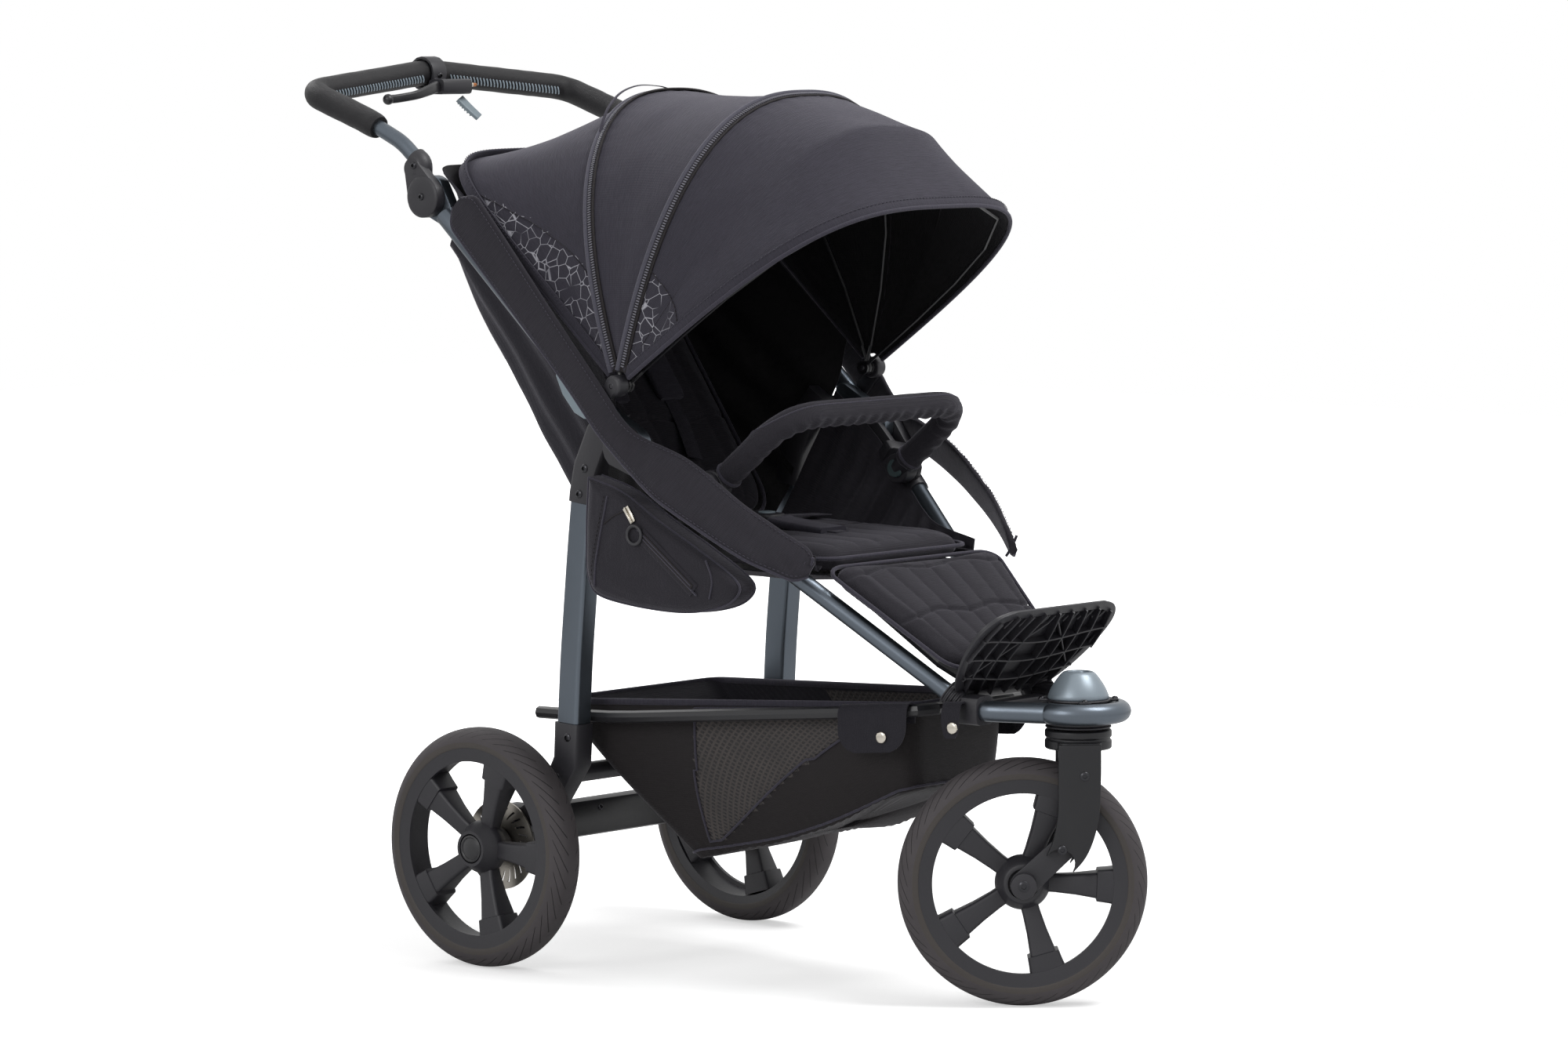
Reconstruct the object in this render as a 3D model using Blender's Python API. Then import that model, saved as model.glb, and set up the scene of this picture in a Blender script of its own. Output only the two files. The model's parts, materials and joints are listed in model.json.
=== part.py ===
"""Three-wheeled sport stroller: a folding tube frame on a swivelling front wheel and two rear wheels.

The shapes are placed from the middle of the rear axle, on the ground under it. Forward is -Y, up is +Z.
The frame's own origin lies about under the middle of the whole stroller, REAR_AXLE_Y in front of the rear axle.
"""

import math

import bmesh
import bpy
from mathutils import Matrix, Vector

# Driving dimensions, in metres and degrees
REAR_AXLE_Y = 0.2455
GAP = 0.0004

TYRE_RADIUS = 0.155
TYRE_HALF_WIDTH = 0.025
RIM_RADIUS = 0.129
RIM_HALF_WIDTH = 0.0225
SPOKE_OPENING_RADIUS = 0.1095
SPOKES = 5
SPOKE_ANGLE = -106.0
SPOKE_HALF_WIDTHS = (0.012, 0.021)
HUB_RING = 0.034
HUB_FACE = 0.0265
PLAIN_HUB_FACE = 0.024
HUB_BACK = 0.027
WHEEL_SIDES = 28
WHEEL_X = 0.256
AXLE_RADIUS = 0.006
AXLE_BORE = 0.0064
AXLE_END = 0.262
HUB_RADIUS = 0.027
BUTTON_RADIUS = 0.018
DISC_RADIUS = 0.058
DISC_BORE = 0.0125

HEAD_Y = -0.763
FORK_TRAIL = 0.068
FORK_TURN = 40.7
LOOP_Z = 0.366
LOOP_RADIUS = 0.052
LOOP_TUBE = 0.013

SIDE_X = 0.245
SIDE_TUBE = 0.011
UPPER_TUBE = 0.012
HINGE = (-0.238, 0.679)
HANDLE_JOINT = (0.102, 0.984)
HANDLE_KINK = (0.0, 0.342, 1.138)
HANDLE_TUBE = 0.010
GRIP_RADIUS = 0.017
GRIP_START_Y = 0.190
STEM_ANGLE = 62
FRONT_JUNCTION = (0.078, -0.655, 0.366)
SOCKET_REACH = 0.024
HINGE_DISC = 0.027
NECK = 0.052
OUTER_CHEEK = (0.2455, 0.2615)
INNER_CHEEK = (0.2185, 0.2270)
UPPER_DISC = (0.2280, 0.2450)

LEG_X = 0.200
BEAM_SIZE = (0.026, 0.050)
BEAM_Z = 0.1735
LEG_PIVOT = (-0.176, 0.702)
LEG_DEPTH = 0.035
LEG_WIDTH = 0.030
BASKET_TUBE = 0.008
BASKET_SAG = 0.016

CANOPY_PIVOT = (-0.226, 0.755)
CANOPY_HALF_WIDTH = 0.2475
CANOPY_THICKNESS = 0.0025
PANEL_FOOT = 0.045
SEAM_GAP = 0.4
BOW_RADIUS = 0.00225
BOW_INSET = 0.0080

# The canopy's arches: angle round its pivot line, reach from it, and how square the arch is.
REAR_EDGE = (41.5, 0.420, 8.0)
REAR_ARCH = (70.0, 0.386, 2.4)
FRONT_ARCH = (105.0, 0.374, 2.5)
VISOR_SEAM = (126.0, 0.402, 2.35)
FRONT_EDGE = (145.0, 0.394, 3.3)

# The left side band's middle line and its width at each of these points
BAND_ROUTE = (
    (0.269, 0.029, 0.978),
    (0.269, -0.190, 0.752),
    (0.269, -0.246, 0.688),
    (0.269, -0.343, 0.641),
    (0.245, -0.434, 0.579),
    (0.198, -0.501, 0.537),
)
BAND_WIDTHS = (0.060, 0.040, 0.034, 0.066, 0.058, 0.046)
BAND_THICKNESS = 0.009

SEAT_HINGE = (-0.126, 0.548)
BACKREST_ANGLE = 54.5
BACKREST_LENGTH = 0.430
CROWN = 0.105
LEG_REST_HINGE = (-0.485, 0.520)
FOOTREST_FOOT = (-0.634, 0.3855)
RIB_PITCH = 0.0285
RIB_HALF_WIDTH = 0.0015
BUMPER_PIVOT = (-0.330, 0.632)
BUMPER_X = 0.176

# The wheels rest on flat facets, so the axle is a little lower than the tyre's radius.
AXLE_Z = TYRE_RADIUS * math.cos(math.pi / WHEEL_SIDES)

SIDES = (("right", -1), ("left", 1))


def at(x, y, z):
    """A point given from the rear axle, in the stroller's own frame."""
    return Vector((x, y + REAR_AXLE_Y, z))


def polar(centre, radius, degrees):
    """The (y, z) point at this distance and angle from centre, 0 degrees to the rear and 90 up."""
    a = math.radians(degrees)
    return centre[0] + radius * math.cos(a), centre[1] + radius * math.sin(a)


def blend(a, b, t):
    return a + (b - a) * t


# Materials


def make_material(name, colour, roughness, metallic=0.0):
    material = bpy.data.materials.new(name)
    material.use_nodes = True
    shader = material.node_tree.nodes["Principled BSDF"]
    shader.inputs["Base Color"].default_value = (*colour, 1.0)
    shader.inputs["Roughness"].default_value = roughness
    shader.inputs["Metallic"].default_value = metallic
    material.diffuse_color = (*colour, 1.0)
    return material


MATERIALS = {}


def make_materials():
    MATERIALS.update(
        alloy=make_material("anodised_alloy", (0.075, 0.088, 0.105), 0.38, 0.85),
        black_tube=make_material("black_painted_tube", (0.012, 0.012, 0.013), 0.35, 0.3),
        plastic=make_material("black_moulded_plastic", (0.014, 0.014, 0.016), 0.5),
        grey_plastic=make_material("grey_moulded_plastic", (0.13, 0.15, 0.17), 0.45),
        fabric=make_material("black_woven_fabric", (0.012, 0.011, 0.014), 0.85),
        rubber=make_material("tyre_rubber", (0.020, 0.016, 0.014), 0.75),
        leather=make_material("black_leatherette", (0.013, 0.013, 0.014), 0.55),
        steel=make_material("brushed_steel", (0.45, 0.44, 0.42), 0.35, 1.0),
    )


# Mesh helpers


def finish(name, bm, material, parent=None, smooth=35.0):
    """Makes the closed mesh an object with its material, parented so that it stays where it is."""
    bmesh.ops.recalc_face_normals(bm, faces=bm.faces)
    mesh = bpy.data.meshes.new(name)
    bm.to_mesh(mesh)
    bm.free()
    mesh.shade_smooth()
    mesh.set_sharp_from_angle(angle=math.radians(smooth))
    mesh.materials.append(MATERIALS[material])
    obj = bpy.data.objects.new(name, mesh)
    bpy.context.scene.collection.objects.link(obj)
    if parent:
        obj.parent = parent
        obj.matrix_parent_inverse = parent.matrix_world.inverted()
    return obj


def axis_empty(name, location, parent=None):
    """An empty on a joint's axis, which carries what turns or slides there."""
    empty = bpy.data.objects.new(name, None)
    bpy.context.scene.collection.objects.link(empty)
    if parent:
        empty.parent = parent
        empty.matrix_parent_inverse = parent.matrix_world.inverted()
    empty.location = location
    bpy.context.view_layer.update()
    return empty


def boolean(obj, operation, operands):
    """Cuts or joins obj with the operand objects, which become hidden helpers."""
    for operand in operands:
        operand.hide_render = True
        operand.display_type = "WIRE"
        modifier = obj.modifiers.new(f"{operation.lower()} {operand.name}", "BOOLEAN")
        modifier.operation = operation
        modifier.object = operand
        modifier.solver = "EXACT"
    return obj


def circle(radius, sides=10):
    return [
        (radius * math.cos(2 * math.pi * k / sides), radius * math.sin(2 * math.pi * k / sides))
        for k in range(sides)
    ]


def rounded_rectangle(width, height, radius, steps=2):
    """Section points, width along the first axis and height along the second."""
    points = []
    corners = ((1, 1, 0), (-1, 1, 90), (-1, -1, 180), (1, -1, 270))
    for sx, sy, start in corners:
        cx, cy = sx * (width / 2 - radius), sy * (height / 2 - radius)
        for k in range(steps + 1):
            a = math.radians(start + 90 * k / steps)
            points.append((cx + radius * math.cos(a), cy + radius * math.sin(a)))
    return points


def rounded_path(corners, radius, steps=4):
    """The corners' polyline with each inner corner turned into an arc-like curve."""
    points = [Vector(corners[0])]
    for before, corner, after in zip(corners, corners[1:], corners[2:]):
        corner = Vector(corner)
        back, on = Vector(before) - corner, Vector(after) - corner
        reach = min(radius, back.length * 0.49, on.length * 0.49)
        start, end = corner + back.normalized() * reach, corner + on.normalized() * reach
        for k in range(steps + 1):
            t = k / steps
            points.append(start * (1 - t) ** 2 + corner * 2 * t * (1 - t) + end * t**2)
    points.append(Vector(corners[-1]))
    return points


def path_frames(points, side):
    """A (side, up) pair at each point, square to the path."""
    frames = []
    for k, point in enumerate(points):
        ahead = points[min(k + 1, len(points) - 1)] - point
        behind = point - points[max(k - 1, 0)]
        along = (ahead.normalized() + behind.normalized()).normalized()
        across = (side - along * side.dot(along)).normalized()
        frames.append((across, along.cross(across)))
        side = across
    return frames


def sweep(points, section, side=(1, 0, 0), scales=None, bm=None):
    """A closed solid along the points. The section's first axis follows side."""
    bm = bm or bmesh.new()
    rings = []
    for k, (point, (across, up)) in enumerate(zip(points, path_frames(points, Vector(side)))):
        scale = scales[k] if scales else 1.0
        rings.append([bm.verts.new(point + (across * u + up * v) * scale) for u, v in section])
    bridge(bm, rings)
    bm.faces.new(rings[0])
    bm.faces.new(rings[-1])
    return bm


def bridge(bm, rings, closed=False):
    count = len(rings[0])
    pairs = list(zip(rings, rings[1:])) + ([(rings[-1], rings[0])] if closed else [])
    for a, b in pairs:
        for k in range(count):
            bm.faces.new((a[k], a[(k + 1) % count], b[(k + 1) % count], b[k]))


def sleeve(points, inner, outer, sides=10, side=(1, 0, 0)):
    """A hollow tube along the points."""
    bm = bmesh.new()
    rings = {inner: [], outer: []}
    for point, (across, up) in zip(points, path_frames(points, Vector(side))):
        for radius, found in rings.items():
            found.append([bm.verts.new(point + across * u + up * v) for u, v in circle(radius, sides)])
    for found in rings.values():
        bridge(bm, found)
    for end in (0, -1):
        bridge(bm, [rings[inner][end], rings[outer][end]])
    return bm


def lathe(profile, centre, axis=(1, 0, 0), sides=24, start=0.0, bm=None):
    """Turns a closed profile of (distance along the axis, radius) points about the axis."""
    bm = bm or bmesh.new()
    axis = Vector(axis).normalized()
    helper = Vector((0, 0, 1)) if abs(axis.z) < 0.9 else Vector((0, 1, 0))
    across = helper.cross(axis).normalized()
    up = axis.cross(across)
    rings = []
    for along, radius in profile:
        if radius == 0:
            rings.append([bm.verts.new(Vector(centre) + axis * along)])
            continue
        ring = []
        for k in range(sides):
            a = start + 2 * math.pi * k / sides
            ring.append(
                bm.verts.new(
                    Vector(centre) + axis * along + (across * math.cos(a) + up * math.sin(a)) * radius
                )
            )
        rings.append(ring)
    on_axis = profile[0][1] == 0
    pairs = list(zip(rings, rings[1:])) + ([] if on_axis else [(rings[-1], rings[0])])
    for a, b in pairs:
        for k in range(sides):
            j = (k + 1) % sides
            corners = [a[k % len(a)], a[j % len(a)], b[j % len(b)], b[k % len(b)]]
            bm.faces.new(list(dict.fromkeys(corners)))
    return bm


def disc_profile(start, end, radius, chamfer=0.0015, bore=0.0):
    """A flat disc between two places on the axis, with chamfered rims and maybe a bore."""
    rim = [(start, radius - chamfer), (start + chamfer, radius), (end - chamfer, radius), (end, radius - chamfer)]
    return [(start, bore)] + rim + [(end, bore)]


def pin(low, high, radius, centre, axis=(1, 0, 0), sides=14):
    """A plain round pin between two places on the axis."""
    return lathe([(low, 0), (low, radius), (high, radius), (high, 0)], centre, axis, sides)


def prism(outline, start, end, axis="x", bm=None):
    """Extrudes an outline along an axis. The outline holds (y, z) points for x, and (x, y) points for z."""
    bm = bm or bmesh.new()
    place = {"x": lambda p, d: at(d, p[0], p[1]), "z": lambda p, d: at(p[0], p[1], d)}[axis]
    rings = [[bm.verts.new(place(p, d)) for p in outline] for d in (start, end)]
    bridge(bm, rings)
    bm.faces.new(rings[0])
    bm.faces.new(rings[1])
    return bm


def bar_outline(a, b, half_width, end_radius=None, steps=5):
    """The (y, z) outline of a flat bar from a to b, with round ends."""
    ay, az = a
    by, bz = b
    heading = math.atan2(bz - az, by - ay)
    radius_b = end_radius or half_width
    points = []
    for centre, radius, turn in (((by, bz), radius_b, -90), ((ay, az), half_width, 90)):
        for k in range(steps + 1):
            angle = heading + math.radians(turn + 180 * k / steps)
            points.append((centre[0] + radius * math.cos(angle), centre[1] + radius * math.sin(angle)))
    return points


def span(side, low_high):
    """The two X places of a piece between these distances from the middle, on one side."""
    return side * low_high[0], side * low_high[1]


# Wheels


def window_outline(index):
    """One opening between two spokes, as (along the ground, up) points round the hub."""
    step = 2 * math.pi / SPOKES
    left = math.radians(SPOKE_ANGLE) + index * step
    right = left + step
    inner, outer = HUB_RING, SPOKE_OPENING_RADIUS
    half_inner, half_outer = SPOKE_HALF_WIDTHS
    points = []
    for k in range(4):
        a = blend(left + half_outer / outer, right - half_outer / outer, k / 3)
        points.append((outer * math.cos(a), outer * math.sin(a)))
    for k in range(3):
        a = blend(right - half_inner / inner, left + half_inner / inner, k / 2)
        points.append((inner * math.cos(a), inner * math.sin(a)))
    return points


def wheel(prefix, suffix, centre, axis, outward, parent, pocket):
    """A tyre and a five-spoke rim. outward is +1 where the open face looks along the axis.

    A wheel with a pocket has a release button sunk in its hub.
    """
    axis = Vector(axis)
    start = math.pi / WHEEL_SIDES
    half = [(0.020, 0.1293 + GAP), (TYRE_HALF_WIDTH, 0.139), (0.0190, 0.1510), (0.0, TYRE_RADIUS)]
    profile = half + [(-x, r) for x, r in half[-2::-1]]
    name = f"{prefix}_tyre{suffix}"
    finish(name, lathe(profile, centre, axis, WHEEL_SIDES, start), "rubber", parent)

    if pocket:
        pocket_radius = BUTTON_RADIUS + 0.0006
        front = [(0.012, AXLE_BORE), (0.012, pocket_radius), (HUB_FACE, pocket_radius)]
        front.append((HUB_FACE, HUB_RADIUS - 0.004))
    else:
        front = [(PLAIN_HUB_FACE, AXLE_BORE), (PLAIN_HUB_FACE, HUB_RADIUS - 0.004)]
    front += [(0.011, HUB_RING), (RIM_HALF_WIDTH, SPOKE_OPENING_RADIUS), (RIM_HALF_WIDTH, RIM_RADIUS)]
    rear = [(-RIM_HALF_WIDTH, RIM_RADIUS), (-RIM_HALF_WIDTH, 0.1225), (-0.006, HUB_RING)]
    rear += [(-HUB_BACK, HUB_RADIUS - 0.003), (-HUB_BACK, AXLE_BORE)]
    profile = [(outward * x, r) for x, r in front + rear]
    rim = finish(f"{prefix}_rim{suffix}", lathe(profile, centre, axis, WHEEL_SIDES, start), "plastic", parent)

    up = Vector((0, 0, 1))
    across = up.cross(axis).normalized()
    cutters = bmesh.new()
    for index in range(SPOKES):
        outline = window_outline(index)
        rings = [
            [cutters.verts.new(Vector(centre) + axis * d + across * u + up * v) for u, v in outline]
            for d in (-0.04, 0.04)
        ]
        bridge(cutters, rings)
        cutters.faces.new(rings[0])
        cutters.faces.new(rings[1])
    boolean(rim, "DIFFERENCE", [finish(f"{name}_windows", cutters, "plastic", parent)])


def make_rear_wheels(legs):
    for name, side in SIDES:
        centre = at(side * WHEEL_X, 0, AXLE_Z)
        axle = axis_empty(f"rear_wheel_{name}_axis", centre, legs)
        wheel("rear", f"_{name}", centre, (1, 0, 0), side, axle, True)
        low, high = sorted(span(side, (0.2250, 0.2274)))
        disc = [(low, DISC_BORE), (low, DISC_RADIUS), (high, DISC_RADIUS), (high, DISC_BORE)]
        finish(f"brake_disc_{name}", lathe(disc, at(0, 0, AXLE_Z), sides=28), "steel", axle)
        button_axis = axis_empty(f"hub_button_{name}_axis", centre, axle)
        low, high = sorted(span(side, (WHEEL_X + 0.0165, WHEEL_X + 0.029)))
        button = pin(low, high, BUTTON_RADIUS, at(0, 0, AXLE_Z), sides=24)
        finish(f"hub_button_{name}", button, "plastic", button_axis)


# Front wheel unit


def make_front_unit():
    turn = Matrix.Translation(at(0, HEAD_Y, 0)) @ Matrix.Rotation(math.radians(FORK_TURN), 4, "Z")
    swivel = axis_empty("fork_swivel_axis", at(0, HEAD_Y, 0))
    centre = turn @ Vector((0, FORK_TRAIL, AXLE_Z))
    axis = (turn.to_3x3() @ Vector((1, 0, 0))).normalized()

    def blade_outline(pairs, half_widths):
        """The (y, z) outline of a flat curved blade along the pairs."""
        front, rear = [], []
        for k, (y, z) in enumerate(pairs):
            a, b = pairs[max(k - 1, 0)], pairs[min(k + 1, len(pairs) - 1)]
            heading = math.atan2(b[1] - a[1], b[0] - a[0])
            dy, dz = -math.sin(heading) * half_widths[k], math.cos(heading) * half_widths[k]
            front.append((y + dy, z + dz))
            rear.append((y - dy, z - dz))
        return front + rear[::-1]

    def turned(outline, low, high, bm=None):
        """Extrudes a (y, z) outline across the wheel, in the turned fork's own frame."""
        bm = bm or bmesh.new()
        rings = [[bm.verts.new(turn @ Vector((d, y, z))) for y, z in outline] for d in (low, high)]
        bridge(bm, rings)
        bm.faces.new(rings[0])
        bm.faces.new(rings[1])
        return bm

    def turned_pin(low, high, y, z, radius):
        return pin(low, high, radius, turn @ Vector((0, y, z)), axis)

    # The fork: a steering disc, a bridge over the tyre and two blades.
    crown_z = (0.3195, 0.3300)
    disc = lathe(disc_profile(crown_z[0], 0.3440, 0.0415, 0.002), at(0, HEAD_Y, 0), (0, 0, 1), 20)
    fork = finish("fork", disc, "alloy", swivel)
    bridge_part = turned(rounded_rectangle(0.056, 0.0105, 0.004), -0.047, 0.047)
    bmesh.ops.translate(bridge_part, verts=bridge_part.verts, vec=(0, 0, 0.3247))
    blades = [(0.0, 0.3247), (0.0, 0.285), (0.0015, 0.240), (0.010, 0.205), (0.024, 0.181)]
    half = [0.026, 0.026, 0.025, 0.023, 0.019]
    parts = [finish("fork_bridge", bridge_part, "alloy", swivel)]
    for side in (-1, 1):
        low, high = sorted((side * 0.033, side * 0.0465))
        parts.append(finish(f"fork_blade{side}", turned(blade_outline(blades, half), low, high), "alloy", swivel))
    boolean(fork, "UNION", parts)

    # The sprung arm: two cheeks inside the blades, joined by the axle.
    pivot = (0.020, 0.1985)
    arm_empty = axis_empty("fork_arm_axis", turn @ Vector((0, *pivot)), swivel)
    axle = finish("fork_arm", turned_pin(-0.0465, 0.0465, FORK_TRAIL, AXLE_Z, AXLE_RADIUS), "plastic", arm_empty)
    cheeks = []
    for side in (-1, 1):
        low, high = sorted((side * 0.0275, side * (0.033 - GAP)))
        outline = bar_outline(pivot, (FORK_TRAIL, AXLE_Z), 0.014, 0.016)
        cheeks.append(finish(f"arm_cheek{side}", turned(outline, low, high), "plastic", arm_empty))
        low, high = sorted((side * 0.032, side * 0.0465))
        outer = turned(circle(0.016, 16), low, high)
        bmesh.ops.translate(outer, verts=outer.verts, vec=turn.to_3x3() @ Vector((0, FORK_TRAIL, AXLE_Z)))
        cheeks.append(finish(f"arm_end{side}", outer, "plastic", arm_empty))
    boolean(axle, "UNION", cheeks)

    wheel_axis = axis_empty("front_wheel_axis", centre, arm_empty)
    wheel("front", "", centre, axis, -1, wheel_axis, False)


# Lower frame


def make_lower_frame():
    """The two side tubes with their hinge housings."""
    for name, side in SIDES:
        top = Vector((side * SIDE_X, *HINGE))
        foot = Vector((side * FRONT_JUNCTION[0], *FRONT_JUNCTION[1:]))
        along = (foot - top).normalized()
        tube = [at(*(top + along * (NECK + 0.016 + GAP))), at(*(foot - along * (0.022 + GAP)))]
        finish(f"lower_tube_{name}", sweep(tube, circle(SIDE_TUBE, 12)), "alloy")

        # The hinge housing: two cheeks, their pin, the socket of the lower tube and the arm to the leg's pivot.
        neck_end = polar(HINGE, NECK - 0.008, 216.8)
        outer = prism(bar_outline(neck_end, HINGE, 0.013, HINGE_DISC, 8), *sorted(span(side, OUTER_CHEEK)))
        housing = finish(f"hinge_housing_{name}", outer, "plastic")
        inner = prism(bar_outline(neck_end, HINGE, 0.013, 0.020, 8), *sorted(span(side, INNER_CHEEK)))
        arm = prism(bar_outline(HINGE, LEG_PIVOT, 0.018, 0.015, 6), *sorted(span(side, (0.2190, 0.2265))))
        low, high = sorted(span(side, (0.2200, 0.2600)))
        hinge_pin = pin(low, high, AXLE_RADIUS, at(0, *HINGE))
        low, high = sorted(span(side, (0.1860, 0.2250)))
        leg_pin = pin(low, high, AXLE_RADIUS, at(0, *LEG_PIVOT))
        mouth = [at(*(top + along * NECK)), at(*(top + along * (NECK + 0.016)))]
        socket = sweep(mouth, rounded_rectangle(0.0425, 0.029, 0.006))
        pieces = [("inner", inner), ("arm", arm), ("pin", hinge_pin), ("leg_pin", leg_pin), ("socket", socket)]
        boolean(housing, "UNION", [finish(f"housing_{name}_{what}", bm, "plastic") for what, bm in pieces])


def make_front_end():
    """The loop tube, the steering head inside it and the black junction behind it."""
    x, y, z = FRONT_JUNCTION
    leg = [(x, y - SOCKET_REACH), (x, y - 0.036), (LOOP_RADIUS, HEAD_Y + 0.012)]
    arc = [at(-a, b, LOOP_Z) for a, b in leg]
    for k in range(11):
        a = math.radians(180 + 180 * k / 10)
        arc.append(at(LOOP_RADIUS * math.cos(a), HEAD_Y + LOOP_RADIUS * math.sin(a), LOOP_Z))
    arc += [at(a, b, LOOP_Z) for a, b in leg[::-1]]
    finish("front_loop", sweep(arc, circle(LOOP_TUBE, 12), (0, 0, 1)), "alloy")

    sleeves = []
    for side in (-1, 1):
        socket = [at(side * x, y + 0.014, z), at(side * x, y - SOCKET_REACH + GAP, z)]
        sleeves.append(sweep(socket, rounded_rectangle(0.034, 0.036, 0.008)))
    block = finish("front_junction", sleeves[0], "plastic")
    other = finish("junction_left", sleeves[1], "plastic")
    bar = sweep([at(-x, y, z), at(x, y, z)], rounded_rectangle(0.026, 0.014, 0.004), (0, 1, 0))
    boolean(block, "UNION", [other, finish("junction_bar", bar, "plastic")])
    cutters = []
    for side in (-1, 1):
        top, foot = Vector((side * SIDE_X, *HINGE)), Vector((side * x, y, z))
        along = (foot - top).normalized()
        tube = [at(*(foot - along * 0.06)), at(*(foot - along * 0.0215))]
        cutters.append(finish(f"tube_end{side}", sweep(tube, circle(SIDE_TUBE + GAP, 12)), "plastic"))
    boolean(block, "DIFFERENCE", cutters)

    inside = LOOP_RADIUS - LOOP_TUBE - 0.0016
    plate_top = 0.3795
    plate = [(0.3450, 0), (0.3450, 0.0415), (0.3520, 0.0415), (0.3530, inside), (plate_top - 0.001, inside)]
    plate += [(plate_top, inside - 0.002), (plate_top, 0)]
    finish("headset_plate", lathe(plate, at(0, HEAD_Y, 0), (0, 0, 1), 20), "plastic")
    base = plate_top + GAP
    cone = [(base, 0), (base, 0.0365), (base + 0.004, 0.0380), (base + 0.017, 0.0320), (base + 0.029, 0.0240)]
    cone += [(base + 0.0335, 0.0195), (base + 0.0345, 0.0170), (base + 0.0345, 0.0125)]
    cone += [(base + 0.028, 0.0120), (base + 0.028, 0)]
    finish("headset_cone", lathe(cone, at(0, HEAD_Y, 0), (0, 0, 1), 20), "alloy")


# Rear legs and axle


def leg_path(side):
    places = ((-0.1290, 0.600), (-0.1225, 0.540), (-0.1160, 0.470), (-0.1095, 0.395), (-0.1050, 0.318))
    return [at(side * LEG_X, y, z) for y, z in places]


def make_rear_end():
    legs = axis_empty("rear_legs_axis", at(0, *LEG_PIVOT))
    for name, side in SIDES:
        section = rounded_rectangle(LEG_WIDTH, LEG_DEPTH, 0.005)
        finish(f"rear_leg_{name}", sweep(leg_path(side), section), "alloy", legs)
        places = ((-0.12904, 0.600 + GAP), (-0.1302, 0.611), (-0.1375, 0.645), (-0.1590, 0.690), (-0.1800, 0.722))
        top = [at(side * LEG_X, y, z) for y, z in places]
        shape = sweep(top, rounded_rectangle(0.0335, 0.040, 0.006), scales=(1, 1, 1, 1, 0.8))
        bracket = finish(f"leg_bracket_{name}", shape, "plastic", legs)
        hole = pin(*sorted(span(side, (0.1830, 0.2400))), AXLE_BORE, at(0, *LEG_PIVOT))
        boolean(bracket, "DIFFERENCE", [finish(f"bracket_{name}_hole", hole, "plastic", legs)])

    # One black carriage: two castings under the legs, the cross tube between them and the clamps on the axle beam.
    parts = []
    for name, side in SIDES:
        places = ((-0.1050, 0.318 - GAP), (-0.1022, 0.268), (-0.0690, 0.215), (-0.0180, 0.182))
        foot = [at(side * LEG_X, y, z) for y, z in places]
        body = sweep(foot, rounded_rectangle(0.0345, 0.041, 0.006), scales=(1, 1, 0.85, 0.75))
        parts.append(finish(f"foot_{name}", body, "plastic", legs))
        ring = [(y, BEAM_Z + z) for y, z in rounded_rectangle(BEAM_SIZE[0] + 0.012, BEAM_SIZE[1] + 0.012, 0.012)]
        parts.append(finish(f"clamp_{name}", prism(ring, *sorted(span(side, (0.1870, 0.2130)))), "plastic", legs))
    cross = sweep([at(-LEG_X, -0.088, 0.2490), at(LEG_X, -0.088, 0.2490)], circle(0.0125, 12), (0, 1, 0))
    carriage = boolean(finish("rear_carriage", cross, "plastic", legs), "UNION", parts)
    seat = [(y, BEAM_Z + z) for y, z in rounded_rectangle(BEAM_SIZE[0] + 2 * GAP, BEAM_SIZE[1] + 2 * GAP, 0.010)]
    boolean(carriage, "DIFFERENCE", [finish("axle_seat", prism(seat, -0.24, 0.24), "plastic", legs)])

    beam = [(y, BEAM_Z + z) for y, z in rounded_rectangle(*BEAM_SIZE, 0.010)]
    axle = finish("rear_axle_beam", prism(beam, -0.2200, 0.2200), "black_tube", legs)
    rod = pin(-AXLE_END, AXLE_END, AXLE_RADIUS, at(0, 0, AXLE_Z))
    boolean(axle, "UNION", [finish("axle_rod", rod, "black_tube", legs)])
    make_rear_wheels(legs)


# Upper frame and handle


def make_upper_frame():
    fold = axis_empty("fold_axis", at(0, *HINGE))
    slope = math.degrees(math.atan2(HANDLE_JOINT[1] - HINGE[1], HANDLE_JOINT[0] - HINGE[0]))
    for name, side in SIDES:
        low_end, high_end = polar(HINGE, NECK, slope), polar(HANDLE_JOINT, 0.034, slope + 180)
        line = [at(side * SIDE_X, *low_end), at(side * SIDE_X, *high_end)]
        tube = finish(f"upper_tube_{name}", sweep(line, circle(UPPER_TUBE, 12)), "alloy", fold)
        discs, holes = [], []
        for what, centre, reach, turn in (("low", HINGE, 0.064, slope), ("high", HANDLE_JOINT, 0.046, slope + 180)):
            outline = bar_outline(polar(centre, reach, turn), centre, 0.0115, HINGE_DISC, 8)
            disc = prism(outline, *sorted(span(side, UPPER_DISC)))
            discs.append(finish(f"{what}_disc_{name}", disc, "alloy", fold))
            hole = pin(*sorted(span(side, (0.2220, 0.2500))), AXLE_BORE, at(0, *centre))
            holes.append(finish(f"{what}_hole_{name}", hole, "alloy", fold))
        boolean(tube, "UNION", discs)
        boolean(tube, "DIFFERENCE", holes)
        make_release_lever(name, side, fold)
        make_canopy_knob(name, side, fold, slope)
    return fold


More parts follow.
